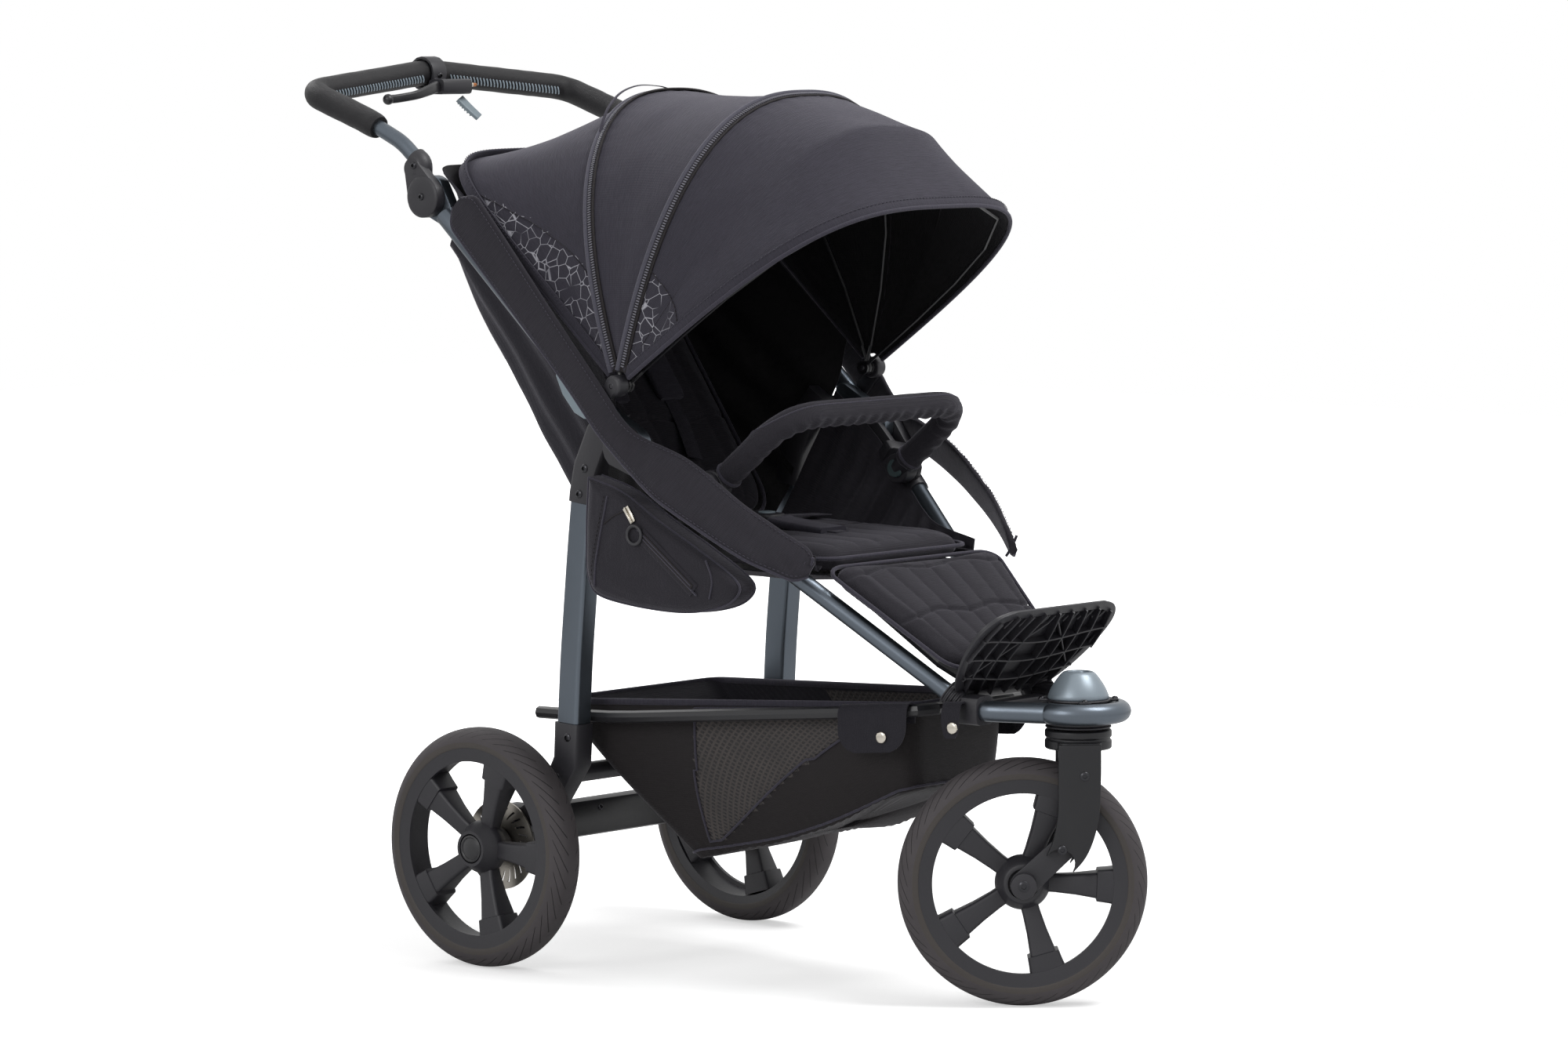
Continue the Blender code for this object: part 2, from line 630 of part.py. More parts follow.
def make_release_lever(name, side, fold):
    """The finger lever that frees the fold lock, under the upper tube."""
    pivot = (-0.150, 0.722)
    lever_axis = axis_empty(f"release_lever_{name}_axis", at(side * 0.2228, *pivot), fold)
    outline = [(-0.158, 0.714), (-0.150, 0.708), (-0.132, 0.716), (-0.112, 0.738), (-0.100, 0.762), (-0.103, 0.768)]
    outline += [(-0.110, 0.764), (-0.121, 0.750), (-0.137, 0.738), (-0.152, 0.734), (-0.161, 0.726)]
    finish(f"release_lever_{name}", prism(outline, *sorted(span(side, (0.2170, 0.2285)))), "grey_plastic", lever_axis)


def make_canopy_knob(name, side, fold, slope):
    """The knob, the shaft through the bows' eyes and the arm that carries them on the upper tube."""
    low, high = sorted(span(side, (0.2425, 0.2615)))
    disc = lathe(disc_profile(low, high, 0.014), at(0, *CANOPY_PIVOT), sides=16)
    knob = finish(f"canopy_knob_{name}", disc, "plastic", fold)
    shaft = pin(*sorted(span(side, (0.2240, 0.2430))), 0.0040, at(0, *CANOPY_PIVOT), sides=10)
    foot = polar(CANOPY_PIVOT, 0.046, slope - 90)
    arm = prism(bar_outline(CANOPY_PIVOT, foot, 0.009, 0.011), *sorted(span(side, (0.2575, 0.2615))))
    pieces = [finish(f"knob_{name}_{what}", bm, "plastic", fold) for what, bm in (("shaft", shaft), ("arm", arm))]
    boolean(knob, "UNION", pieces)


def handle_route():
    """The handle bar's centre line from the right socket round to the left one."""
    right = [(-SIDE_X, 0.1270, 1.0330), (-SIDE_X, 0.1500, 1.0520), (-SIDE_X, 0.2090, 1.0780)]
    right += [(-SIDE_X, 0.3180, 1.1145), HANDLE_KINK]
    left = [(-x, y, z) for x, y, z in right[-2::-1]]
    return rounded_path([at(*p) for p in right + left], 0.030, 2)


def make_handle(fold):
    turn = axis_empty("handle_axis", at(0, *HANDLE_JOINT), fold)
    route = handle_route()
    finish("handle_tube", sweep(route, circle(HANDLE_TUBE, 10)), "alloy", turn)
    # The grip runs from bend to bend, over the tube.
    begin = next(k for k, p in enumerate(route) if p.y > at(0, GRIP_START_Y, 0).y)
    end = len(route) - begin
    finish("handle_grip", sleeve(route[begin:end], HANDLE_TUBE + GAP, GRIP_RADIUS, 10), "leather", turn)
    for name, side in SIDES:
        places = (polar(HANDLE_JOINT, 0.0315, STEM_ANGLE), (0.1178, 1.0254), (0.1267, 1.0327))
        socket = sweep([at(side * SIDE_X, *place) for place in places], circle(0.0145, 12))
        socket = finish(f"handle_socket_{name}", socket, "plastic", turn)
        outline = bar_outline(polar(HANDLE_JOINT, 0.038, STEM_ANGLE), HANDLE_JOINT, 0.013, HINGE_DISC, 8)
        disc = prism(outline, *sorted(span(side, OUTER_CHEEK)))
        joint_pin = pin(*sorted(span(side, (0.2300, 0.2500))), AXLE_RADIUS, at(0, *HANDLE_JOINT))
        pieces = (("disc", disc), ("pin", joint_pin))
        boolean(socket, "UNION", [finish(f"socket_{name}_{what}", bm, "plastic", turn) for what, bm in pieces])
    make_brake(turn)


def make_brake(turn):
    """The brake bracket under the middle of the handle, with its lever and the parking lock."""
    kink = at(*HANDLE_KINK)
    ring = sleeve([kink + Vector((x, -0.0016, -0.0016)) for x in (-0.013, 0.013)], 0.0192, 0.0225, 16, (0, 1, 0))
    bracket = finish("brake_bracket", ring, "plastic", turn)
    line = [kink + Vector((x, -0.036, -0.019)) for x in (-0.020, 0.034)]
    body = sweep(line, rounded_rectangle(0.028, 0.020, 0.005), (0, 1, 0))
    line = [kink + Vector((0, -0.018, -0.0115)), kink + Vector((0, -0.030, -0.018))]
    arm = sweep(line, rounded_rectangle(0.022, 0.012, 0.003))
    pieces = (("brake_arm", arm), ("brake_body", body))
    boolean(bracket, "UNION", [finish(name, bm, "plastic", turn) for name, bm in pieces])

    lever_axis = axis_empty("brake_lever_axis", kink + Vector((-0.026, -0.040, -0.019)), turn)
    places = ((-0.024, -0.040, -0.019), (-0.050, -0.050, -0.024), (-0.085, -0.052, -0.030), (-0.118, -0.046, -0.034))
    route = [kink + Vector(place) for place in places]
    blade = sweep(rounded_path(route, 0.02, 3), rounded_rectangle(0.008, 0.013, 0.003), (0, 1, 0))
    lever = finish("brake_lever", blade, "black_tube", lever_axis)
    tip = kink + Vector((-0.120, -0.046, -0.034))
    ball = bmesh.new()
    bmesh.ops.create_icosphere(ball, subdivisions=1, radius=0.009, matrix=Matrix.Translation(tip))
    boolean(lever, "UNION", [finish("brake_ball", ball, "black_tube", lever_axis)])

    lock_axis = axis_empty("parking_lock_axis", kink + Vector((0.026, -0.040, -0.030)), turn)
    clip = [kink + Vector(v) for v in ((0.024, -0.036, -0.0350), (0.030, -0.044, -0.046), (0.040, -0.056, -0.060))]
    finish("parking_lock", sweep(clip, rounded_rectangle(0.016, 0.006, 0.002)), "grey_plastic", lock_axis)


# Canopy


def arch(angle, reach, half_width, power, steps, first_radius):
    """Evenly spaced points of a bow's arch in the plane at this angle round the canopy's pivot line.

    The arch is a superellipse from first_radius above the pivot line on one side to the same on the other.
    """
    fine = []
    for k in range(241):
        t = math.pi * k / 240
        c, s = math.cos(t), max(0.0, math.sin(t))
        radius = max(first_radius, reach * s ** (2 / power))
        rise = min(1.0, radius / reach)
        x = -math.copysign(half_width * (1 - rise**power) ** (1 / power), c)
        fine.append(at(x, *polar(CANOPY_PIVOT, radius, angle)))
    return resampled(fine, steps)


def resampled(points, steps):
    """The polyline's points at steps + 1 even distances along it."""
    lengths = [(b - a).length for a, b in zip(points, points[1:])]
    wanted, total, found, done, index = 0.0, sum(lengths), [points[0]], 0.0, 0
    for k in range(1, steps):
        wanted = total * k / steps
        while done + lengths[index] < wanted:
            done += lengths[index]
            index += 1
        found.append(points[index].lerp(points[index + 1], (wanted - done) / lengths[index]))
    return found + [points[-1]]


def make_panel(name, stations, rows, parent):
    """One fabric panel stretched over arches, a thin shell. Each station is an arch's angle, reach and power."""
    edges = [arch(*station[:2], CANOPY_HALF_WIDTH, station[2], 16, PANEL_FOOT) for station in stations]
    grid = []
    for a, b in zip(edges, edges[1:]):
        for k in range(rows):
            grid.append([p.lerp(q, k / rows) for p, q in zip(a, b)])
    grid.append(edges[-1])
    bm = bmesh.new()
    grid = [[bm.verts.new(p) for p in line] for line in grid]
    for a, b in zip(grid, grid[1:]):
        for k in range(len(a) - 1):
            bm.faces.new((a[k], b[k], b[k + 1], a[k + 1]))
    panel = finish(name, bm, "fabric", parent, 60)
    top = max(panel.data.polygons, key=lambda p: p.center.z)
    thicken = panel.modifiers.new("cloth thickness", "SOLIDIFY")
    thicken.thickness = CANOPY_THICKNESS
    thicken.offset = 1.0 if top.normal.z < 0 else -1.0


def nudged(station, degrees):
    """The same arch, turned this much about the pivot line."""
    return (station[0] + degrees, *station[1:])


def make_bow(name, station, half_width, parent):
    """The rod inside an arch, with an eye on each side that turns on the knob's shaft."""
    angle, reach, power = station
    route = arch(angle, reach - BOW_INSET, half_width, power, 12, 0.03)
    bow = finish(name, sweep(route, circle(BOW_RADIUS, 6), (0, 1, 0)), "black_tube", parent)
    eyes = []
    for side in (-1, 1):
        low, high = sorted(span(side, (half_width - 0.0020, half_width + 0.0020)))
        ring = [(low, 0.0044), (low, 0.0090), (high, 0.0090), (high, 0.0044)]
        eyes.append(finish(f"{name}_eye{side}", lathe(ring, at(0, *CANOPY_PIVOT), sides=10), "black_tube", parent))
        line = [at(side * half_width, *polar(CANOPY_PIVOT, 0.007, angle)), route[0 if side < 0 else -1]]
        eyes.append(finish(f"{name}_stub{side}", sweep(line, circle(BOW_RADIUS, 6)), "black_tube", parent))
    boolean(bow, "UNION", eyes)


def make_canopy(fold):
    make_panel("canopy_rear_panel", [REAR_EDGE, nudged(REAR_ARCH, -SEAM_GAP)], 3, fold)
    rear = axis_empty("canopy_rear_bow_axis", at(0, *CANOPY_PIVOT), fold)
    make_bow("canopy_rear_bow", REAR_ARCH, 0.2400, rear)
    make_panel("canopy_middle_panel", [nudged(REAR_ARCH, SEAM_GAP), nudged(FRONT_ARCH, -SEAM_GAP)], 3, rear)
    middle = axis_empty("canopy_middle_bow_axis", at(0, *CANOPY_PIVOT), rear)
    make_bow("canopy_middle_bow", FRONT_ARCH, 0.2345, middle)
    make_panel("canopy_front_panel", [nudged(FRONT_ARCH, SEAM_GAP), VISOR_SEAM, FRONT_EDGE], 2, middle)
    front = axis_empty("canopy_front_bow_axis", at(0, *CANOPY_PIVOT), middle)
    make_bow("canopy_front_bow", nudged(FRONT_EDGE, -1.0), 0.2290, front)


# Soft pieces


def quilted_pad(name, place, length, widths, thickness, channels, seams, parent, rows, belly=0.0):
    """A closed cushion lying along its own Y, with lengthwise channels, cross seams and drawn-in sides.

    The belly is how far the cover behind it hangs out.
    """
    columns = channels * 2
    bm = bmesh.new()
    rings = []
    for row in range(rows + 1):
        v = row / rows
        half = blend(widths[0], widths[1], v) / 2
        end_pull = min(1.0, 4 * min(v, 1 - v) + 0.25)
        seam = min([1.0] + [abs(v - s) * rows * 0.9 + 0.45 for s in seams])
        upper, lower = [], []
        for column in range(columns + 1):
            u = column / columns
            across = 2 * u - 1
            edge = (1 - across**6) ** 0.5 if abs(across) < 1 else 0.0
            channel = 0.72 + 0.28 * abs(math.sin(math.pi * channels * u))
            swell = thickness * (0.35 + 0.65 * edge * end_pull * seam * channel)
            swell += thickness * CROWN * (1 - across**2) * end_pull
            if abs(across) == 1:
                swell = thickness * 0.35
            x = across * half * (0.985 + 0.015 * end_pull)
            upper.append(Vector((x, v * length, swell)))
            lower.append(Vector((x, v * length, -belly * end_pull * edge * (1 - 0.45 * v))))
        rings.append([bm.verts.new(place @ p) for p in upper + lower[::-1]])
    bridge(bm, rings)
    bm.faces.new(rings[0])
    bm.faces.new(rings[-1])
    finish(name, bm, "fabric", parent, 60)


def pad_place(origin, degrees):
    """A frame at origin (y, z) whose Y runs at this angle, 0 to the rear and 90 up, and whose Z is square to it."""
    return Matrix.Translation(at(0, *origin)) @ Matrix.Rotation(math.radians(degrees), 4, "X")


def make_seat(fold):
    quilted_pad("seat_pad", pad_place((-0.478, 0.5275), 1.0), 0.325, (0.292, 0.320), 0.032, 7, (0.5,), None, 8)
    recline = axis_empty("backrest_axis", at(0, *SEAT_HINGE), fold)
    start = polar(SEAT_HINGE, 0.012, BACKREST_ANGLE)
    place = pad_place(start, BACKREST_ANGLE)
    quilted_pad("backrest", place, BACKREST_LENGTH, (0.320, 0.335), 0.026, 6, (0.33, 0.66), recline, 9, belly=0.034)


def make_leg_rest():
    hinge = axis_empty("leg_rest_axis", at(0, *LEG_REST_HINGE))
    slope = math.degrees(math.atan2(0.423 - 0.545, -0.655 + 0.490))
    side_rails = [(-0.110, -0.4935, 0.5105), (-0.078, -0.6350, 0.4045)]
    route = [at(*side_rails[0]), at(*side_rails[1]), at(0.078, *side_rails[1][1:]), at(0.110, *side_rails[0][1:])]
    finish("leg_rest_frame", sweep(rounded_path(route, 0.03, 2), circle(0.008, 8), (0, 0, 1)), "black_tube", hinge)
    place = pad_place((-0.487, 0.5265), slope)
    place = place @ Matrix.Diagonal((1, 1, -1, 1))
    quilted_pad("leg_rest_pad", place, 0.198, (0.336, 0.218), 0.024, 7, (0.12, 0.55), hinge, 8)

    # The footrest plate: a rounded board with a grid of ribs under it.
    bottom, up = Vector((0, *FOOTREST_FOOT)), Vector((0, -0.0800, 0.0920)).normalized()
    out = Vector((0, -up.z, up.y))
    outline = [(0.050, 0.000), (0.081, 0.008), (0.104, 0.030), (0.120, 0.062), (0.126, 0.092), (0.124, 0.116)]
    outline += [(0.110, 0.134), (0.086, 0.142)]
    outline = outline + [(-x, v) for x, v in outline[::-1]]

    def slab(points, low, high, bm=None):
        bm = bm or bmesh.new()
        rings = []
        for d in (low, high):
            rings.append([bm.verts.new(at(*(bottom + Vector((x, 0, 0)) + up * v + out * d))) for x, v in points])
        bridge(bm, rings)
        bm.faces.new(rings[0])
        bm.faces.new(rings[1])
        return bm

    board = finish("footrest", slab(outline, 0.0, 0.004), "plastic", hinge)
    ribs = []
    for k in range(-3, 4):
        low, high = 0.012 + 0.006 * abs(k), 0.138 if abs(k) < 3 else 0.126
        left, right = k * RIB_PITCH - RIB_HALF_WIDTH, k * RIB_PITCH + RIB_HALF_WIDTH
        strip = [(left, low), (right, low), (right, high), (left, high)]
        ribs.append(finish(f"footrest_rib{k}", slab(strip, 0.003, 0.013), "plastic", hinge))
    for k, (v, half) in enumerate(((0.030, 0.098), (0.070, 0.118), (0.110, 0.120))):
        low, high = v - RIB_HALF_WIDTH, v + RIB_HALF_WIDTH
        strip = [(-half, low), (half, low), (half, high), (-half, high)]
        ribs.append(finish(f"footrest_cross{k}", slab(strip, 0.003, 0.0125), "plastic", hinge))
    boolean(board, "UNION", ribs)


def make_side_bands(fold):
    """The padded cloth bands outside the side tubes, from the handle joints down to the knees."""
    steps = 3
    scales = [BAND_WIDTHS[0]]
    for width in BAND_WIDTHS[1:-1]:
        scales += [width] * (steps + 1)
    scales = [width / BAND_WIDTHS[0] for width in scales + [BAND_WIDTHS[-1]]]
    section = rounded_rectangle(BAND_THICKNESS, BAND_WIDTHS[0], 0.004)
    for name, side in SIDES:
        path = rounded_path([at(side * x, y, z) for x, y, z in BAND_ROUTE], 0.03, steps)
        finish(f"side_band_{name}", sweep(path, section, scales=scales), "fabric", fold)


def make_side_bag():
    """The bag with a bulging front that hangs on the near side tube."""
    outline = [(-0.186, 0.640), (-0.184, 0.560), (-0.186, 0.516), (-0.204, 0.494), (-0.280, 0.483), (-0.355, 0.483)]
    outline += [(-0.415, 0.495), (-0.438, 0.514), (-0.425, 0.531), (-0.370, 0.560), (-0.300, 0.594), (-0.245, 0.624)]
    layers = ((0.2240, 0.88), (0.2330, 1.0), (0.2560, 1.0), (0.2680, 0.95), (0.2720, 0.80))
    middle = Vector((-0.310, 0.552))
    bm = bmesh.new()
    rings = []
    for x, scale in layers:
        places = [middle + (Vector(point) - middle) * scale for point in outline]
        rings.append([bm.verts.new(at(-x, *place)) for place in places])
    bridge(bm, rings)
    bm.faces.new(rings[0])
    bm.faces.new(rings[-1])
    finish("side_bag", bm, "fabric", None, 50)


def make_basket():
    """The U-shaped frame tube and the open cloth basket that hangs inside it."""
    right = [(-0.1740, -0.0200, 0.3220), (-0.1700, -0.1400, 0.3240), (-0.1080, -0.5970, 0.3620)]
    route = rounded_path([at(*p) for p in right + [(-x, y, z) for x, y, z in right[::-1]]], 0.035, 2)
    finish("basket_frame", sweep(route, circle(BASKET_TUBE, 8), (0, 0, 1)), "black_tube")
    rim = [(-0.158, -0.030, 0.3360), (0.158, -0.030, 0.3360), (0.090, -0.5760, 0.3660), (-0.090, -0.5760, 0.3660)]
    floor = [(-0.118, -0.2350, 0.1450), (0.118, -0.2350, 0.1450), (0.082, -0.5700, 0.2600), (-0.082, -0.5700, 0.2600)]
    wall = 0.004
    bm = bmesh.new()

    def between(t, shrink, lift):
        """A ring of 16 points at this share of the way from the rim to the floor, whose long sides sag."""
        corners = [Vector(top).lerp(Vector(low), t) for top, low in zip(rim, floor)]
        for corner in corners:
            corner.x *= 1 + 0.10 * math.sin(math.pi * t)
        centre = sum(corners, Vector()) / 4
        found = []
        for k in range(16):
            p = corners[k // 4].lerp(corners[(k // 4 + 1) % 4], (k % 4) / 4)
            sag = BASKET_SAG * t * math.sin(math.pi * (k % 4) / 4) if k // 4 in (1, 3) else 0.0
            pull = (p - centre).normalized() * shrink
            found.append(bm.verts.new(at(*(p - pull + Vector((0, 0, lift - sag))))))
        return found

    outside = [between(t, 0.0, 0.0) for t in (0.0, 0.35, 0.7, 1.0)]
    inside = [between(t, wall, lift) for t, lift in ((1.0, wall), (0.7, 0.0), (0.35, 0.0), (0.0, 0.0))]
    bridge(bm, outside)
    bridge(bm, inside)
    bridge(bm, [inside[-1], outside[0]])
    bm.faces.new(outside[-1])
    bm.faces.new(inside[0])
    finish("basket", bm, "fabric", None, 50)


def make_bumper():
    swing = axis_empty("bumper_axis", at(0, *BUMPER_PIVOT))
    low_end, corner = (-0.3420, 0.6410), (-0.4400, 0.7220)
    places = ((-1, low_end), (-1, corner), (1, corner), (1, low_end))
    route = rounded_path([at(side * BUMPER_X, *place) for side, place in places], 0.095, 5)
    bar = finish("bumper_bar", sweep(route, circle(0.0172, 10), (0, 1, 0)), "fabric", swing)
    for name, side in SIDES:
        low, high = sorted(span(side, (0.1710, 0.1935)))
        end = lathe(disc_profile(low, high, 0.0195, 0.002), at(0, *BUMPER_PIVOT), sides=14)
        pocket = pin(*sorted(span(side, (0.1600, 0.1780))), 0.0126, at(0, *BUMPER_PIVOT))
        boolean(bar, "UNION", [finish(f"bumper_end_{name}", end, "plastic", swing)])
        boolean(bar, "DIFFERENCE", [finish(f"bumper_pocket_{name}", pocket, "plastic", swing)])
        push = axis_empty(f"bumper_button_{name}_axis", at(side * 0.173, *BUMPER_PIVOT), swing)
        low, high = sorted(span(side, (0.1660, 0.1745)))
        button = lathe(disc_profile(low, high, 0.0120, 0.001), at(0, *BUMPER_PIVOT), sides=14)
        finish(f"bumper_button_{name}", button, "grey_plastic", push)

        # The socket stands on the lower tube, outside the bar's end.
        low, high = sorted(span(side, (0.1940, 0.2040)))
        disc = lathe(disc_profile(low, high, 0.0180, 0.002), at(0, *BUMPER_PIVOT), sides=14)
        socket = finish(f"bumper_socket_{name}", disc, "plastic")
        top, foot = Vector((side * SIDE_X, *HINGE)), Vector((side * FRONT_JUNCTION[0], *FRONT_JUNCTION[1:]))
        along = (foot - top).normalized()
        seat = top + along * ((BUMPER_PIVOT[0] - top.y) / along.y)
        collar = sweep([at(*(seat - along * 0.014)), at(*(seat + along * 0.014))], circle(0.0138, 12))
        post = sweep([at(*seat), at(side * 0.2000, *BUMPER_PIVOT)], rounded_rectangle(0.009, 0.022, 0.003))
        pieces = (("collar", collar), ("post", post))
        boolean(socket, "UNION", [finish(f"{what}_{name}", bm, "plastic") for what, bm in pieces])
        bore = sweep([at(*(seat - along * 0.05)), at(*(seat + along * 0.05))], circle(SIDE_TUBE + GAP, 12))
        boolean(socket, "DIFFERENCE", [finish(f"collar_bore_{name}", bore, "plastic")])


def main():
    for obj in list(bpy.data.objects):
        bpy.data.objects.remove(obj)
    make_materials()
    make_lower_frame()
    make_front_end()
    make_front_unit()
    make_rear_end()
    fold = make_upper_frame()
    make_handle(fold)
    make_canopy(fold)
    make_seat(fold)
    make_leg_rest()
    make_side_bands(fold)
    make_side_bag()
    make_basket()
    make_bumper()


main()
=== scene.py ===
"""Three-wheeled sport stroller: the finished surfaces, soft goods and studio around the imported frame."""

import json
import math

import bmesh
import bpy
from bpy.props import FloatProperty, FloatVectorProperty, IntProperty, PointerProperty
from bpy.types import Operator, Panel, PropertyGroup
from mathutils import Matrix, Vector, noise

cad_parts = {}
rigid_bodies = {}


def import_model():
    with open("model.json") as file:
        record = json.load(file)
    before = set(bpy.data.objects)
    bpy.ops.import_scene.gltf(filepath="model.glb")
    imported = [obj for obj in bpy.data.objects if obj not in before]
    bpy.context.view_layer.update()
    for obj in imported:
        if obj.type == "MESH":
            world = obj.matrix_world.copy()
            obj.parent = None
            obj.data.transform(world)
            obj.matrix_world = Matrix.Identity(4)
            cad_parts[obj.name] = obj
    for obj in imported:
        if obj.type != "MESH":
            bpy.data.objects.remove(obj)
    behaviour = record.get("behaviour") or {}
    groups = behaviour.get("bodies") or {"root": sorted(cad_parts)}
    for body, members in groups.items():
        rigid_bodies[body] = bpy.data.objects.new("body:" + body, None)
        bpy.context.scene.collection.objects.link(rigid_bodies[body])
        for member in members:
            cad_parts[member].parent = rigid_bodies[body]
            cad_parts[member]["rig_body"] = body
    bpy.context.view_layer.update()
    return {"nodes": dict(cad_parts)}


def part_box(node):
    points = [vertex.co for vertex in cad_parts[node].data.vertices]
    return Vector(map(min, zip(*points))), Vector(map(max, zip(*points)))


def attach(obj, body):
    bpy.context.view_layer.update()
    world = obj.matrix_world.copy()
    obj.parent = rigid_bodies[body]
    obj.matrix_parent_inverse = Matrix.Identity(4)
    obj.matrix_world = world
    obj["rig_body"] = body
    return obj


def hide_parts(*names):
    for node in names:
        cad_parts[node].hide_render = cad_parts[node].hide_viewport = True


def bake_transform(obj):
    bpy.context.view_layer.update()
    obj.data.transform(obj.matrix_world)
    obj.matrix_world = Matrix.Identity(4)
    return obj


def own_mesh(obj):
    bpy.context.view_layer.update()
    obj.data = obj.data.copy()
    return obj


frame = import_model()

bl_info = {
    "name": "Sport stroller",
    "version": (1, 0, 0),
    "blender": (4, 5, 0),
    "location": "3D View > Sidebar > Stroller",
    "description": "Dresses the packed stroller frame with its fabrics, wheels and fittings",
    "category": "Object",
}

# The shapes are placed from the middle of the rear axle, on the ground under it, as in the solid model.
REAR_AXLE_Y = 0.2455
SIDES = (("right", -1), ("left", 1))

# Wheels and fork
SPOKE_ANGLE = -106.0
SPOKES = 5
WHEEL_X = 0.256
AXLE_Z = 0.155 * math.cos(math.pi / 28)
HEAD_Y = -0.763
FORK_TRAIL = 0.068
FORK_TURN = 40.7
BLADE_SPAN = (0.0335, 0.0465)
SECTION_HALF = 0.0428  # half the length of the tyre's section, from bead to crown

# Frame. A pair is (y, z).
LOOP_Z = 0.366
LOOP_RADIUS = 0.052
LOOP_TUBE = 0.013
SIDE_X = 0.245
SIDE_TUBE = 0.011
UPPER_TUBE = 0.012
FRONT_JUNCTION = (0.078, -0.655, LOOP_Z)
CONE_BASE = 0.3799
LUG_ANGLES = (48, 132, 228, 312)
HINGE = (-0.238, 0.679)
NECK = 0.052
JOINT_DISC = 0.027
LEG_X = 0.200
BEAM_Z = 0.1735

# Handle
HANDLE_JOINT = (0.102, 0.984)
HANDLE_TUBE = 0.010
HANDLE_KINK = (0.0, 0.3420, 1.1380)
STEM_ANGLE = 62
GRIP_START_Y = 0.190
GRIP_RADIUS = 0.0168
LACED_SPAN = (0.028, 0.222)

# Seat and bumper
SEAT_HINGE = (-0.126, 0.548)
BACKREST_ANGLE = 54.5
BUMPER_PIVOT = (-0.330, 0.632)
BUMPER_X = 0.176
SLEEVE_RADIUS = 0.0166
SLEEVE_STEPS = 260
BAND_STEPS = 150
BAND_STITCH = 0.0058
# The left side band's middle line, with the band's width at each of these points
BAND_ROUTE = (
    (0.269, 0.029, 0.978, 0.060),
    (0.269, -0.190, 0.752, 0.044),
    (0.269, -0.246, 0.688, 0.038),
    (0.269, -0.343, 0.641, 0.066),
    (0.245, -0.434, 0.579, 0.058),
    (0.198, -0.501, 0.537, 0.046),
)

# The upper and lower edges of the cloth between the seat and the left tube
WALL_TOP = (
    (0.2150, -0.1900, 0.7240), (0.2150, -0.2380, 0.6880), (0.2120, -0.2750, 0.6560), (0.2020, -0.3100, 0.6240),
    (0.1900, -0.3420, 0.6000), (0.1780, -0.3700, 0.5800), (0.1650, -0.4050, 0.5640), (0.1560, -0.4720, 0.5500),
)
WALL_FOOT = (
    (0.1680, -0.1270, 0.5500), (0.1630, -0.1900, 0.5440), (0.1560, -0.3000, 0.5420), (0.1500, -0.4000, 0.5400),
    (0.1480, -0.4740, 0.5370),
)

# Basket: half width, y and z of each corner, and how its cloth is divided
RIM_REAR, RIM_FRONT = (0.158, -0.030, 0.336), (0.090, -0.576, 0.366)
FLOOR_REAR, FLOOR_FRONT = (0.118, -0.235, 0.145), (0.082, -0.570, 0.260)
BASKET_BULGE = 0.10
BASKET_SAG = 0.016
BASKET_ROWS = 26
FLOOR_ROWS = 3
LONG_STEPS = 64
SIDE_STEPS = (LONG_STEPS, 16, LONG_STEPS, 32)
CORNER_STEPS = 6
CORNER_REACH = 0.026
# The first face of each long side round the basket, and whether it runs from the front
LONG_SIDES = ((CORNER_STEPS, False), (3 * CORNER_STEPS + SIDE_STEPS[0] + SIDE_STEPS[1], True))
# The net: its rows, its rear edge, its length and how its lower edge rises
NET_TOP, NET_FOOT = 0.04, 0.92
NET_REAR_Y = -0.245
NET_LENGTH = 0.259
FLAP_LINE = ((0.170, -0.140, 0.324), (0.108, -0.597, 0.362))

# Canopy
CANOPY_PIVOT = (-0.226, 0.755)
CANOPY_HALF_WIDTH = 0.2475
CANOPY_BLEND_REACH = 0.16
CANOPY_STITCH = 0.0060
ARCH_STEPS = 300
# The canopy's arches: angle round the pivot line, reach from it and how square the arch is.
REAR_EDGE = (41.5, 0.420, 8.0)
REAR_ARCH = (70.0, 0.386, 2.4)
FRONT_ARCH = (105.0, 0.374, 2.5)
VISOR_SEAM = (126.0, 0.402, 2.35)
FRONT_EDGE = (145.0, 0.394, 3.3)

# Camera and lamps. A lamp has a name, a place, a size and a power.
CAMERA_PLACE = (-5.9185, -5.1276, 1.2587)
CAMERA_TARGET = (-0.1327, -0.1545, 0.5858)
CAMERA_LENS, CAMERA_SENSOR = 140.9, 36.0
LAMP_TARGET = (0.0, -0.05, 0.55)
LAMPS = (
    ("key_lamp", (0.9, -2.2, 4.2), 2.2, 125.0),
    ("side_lamp", (-3.8, -0.4, 2.2), 2.0, 44.0),
    ("rear_lamp", (0.4, 3.2, 3.2), 2.0, 40.0),
)


def srgb(code):
    """The linear colour of an sRGB hex value such as #5a626b."""
    values = [int(code[k : k + 2], 16) / 255 for k in (1, 3, 5)]
    return [v / 12.92 if v <= 0.04045 else ((v + 0.055) / 1.055) ** 2.4 for v in values]


def colour_property(name, description, code):
    return FloatVectorProperty(
        name=name, description=description, subtype="COLOR", size=3, min=0.0, max=1.0, default=srgb(code)
    )


def length_property(name, description, default):
    return FloatProperty(
        name=name, description=description, subtype="DISTANCE", unit="LENGTH", min=0.0, default=default
    )


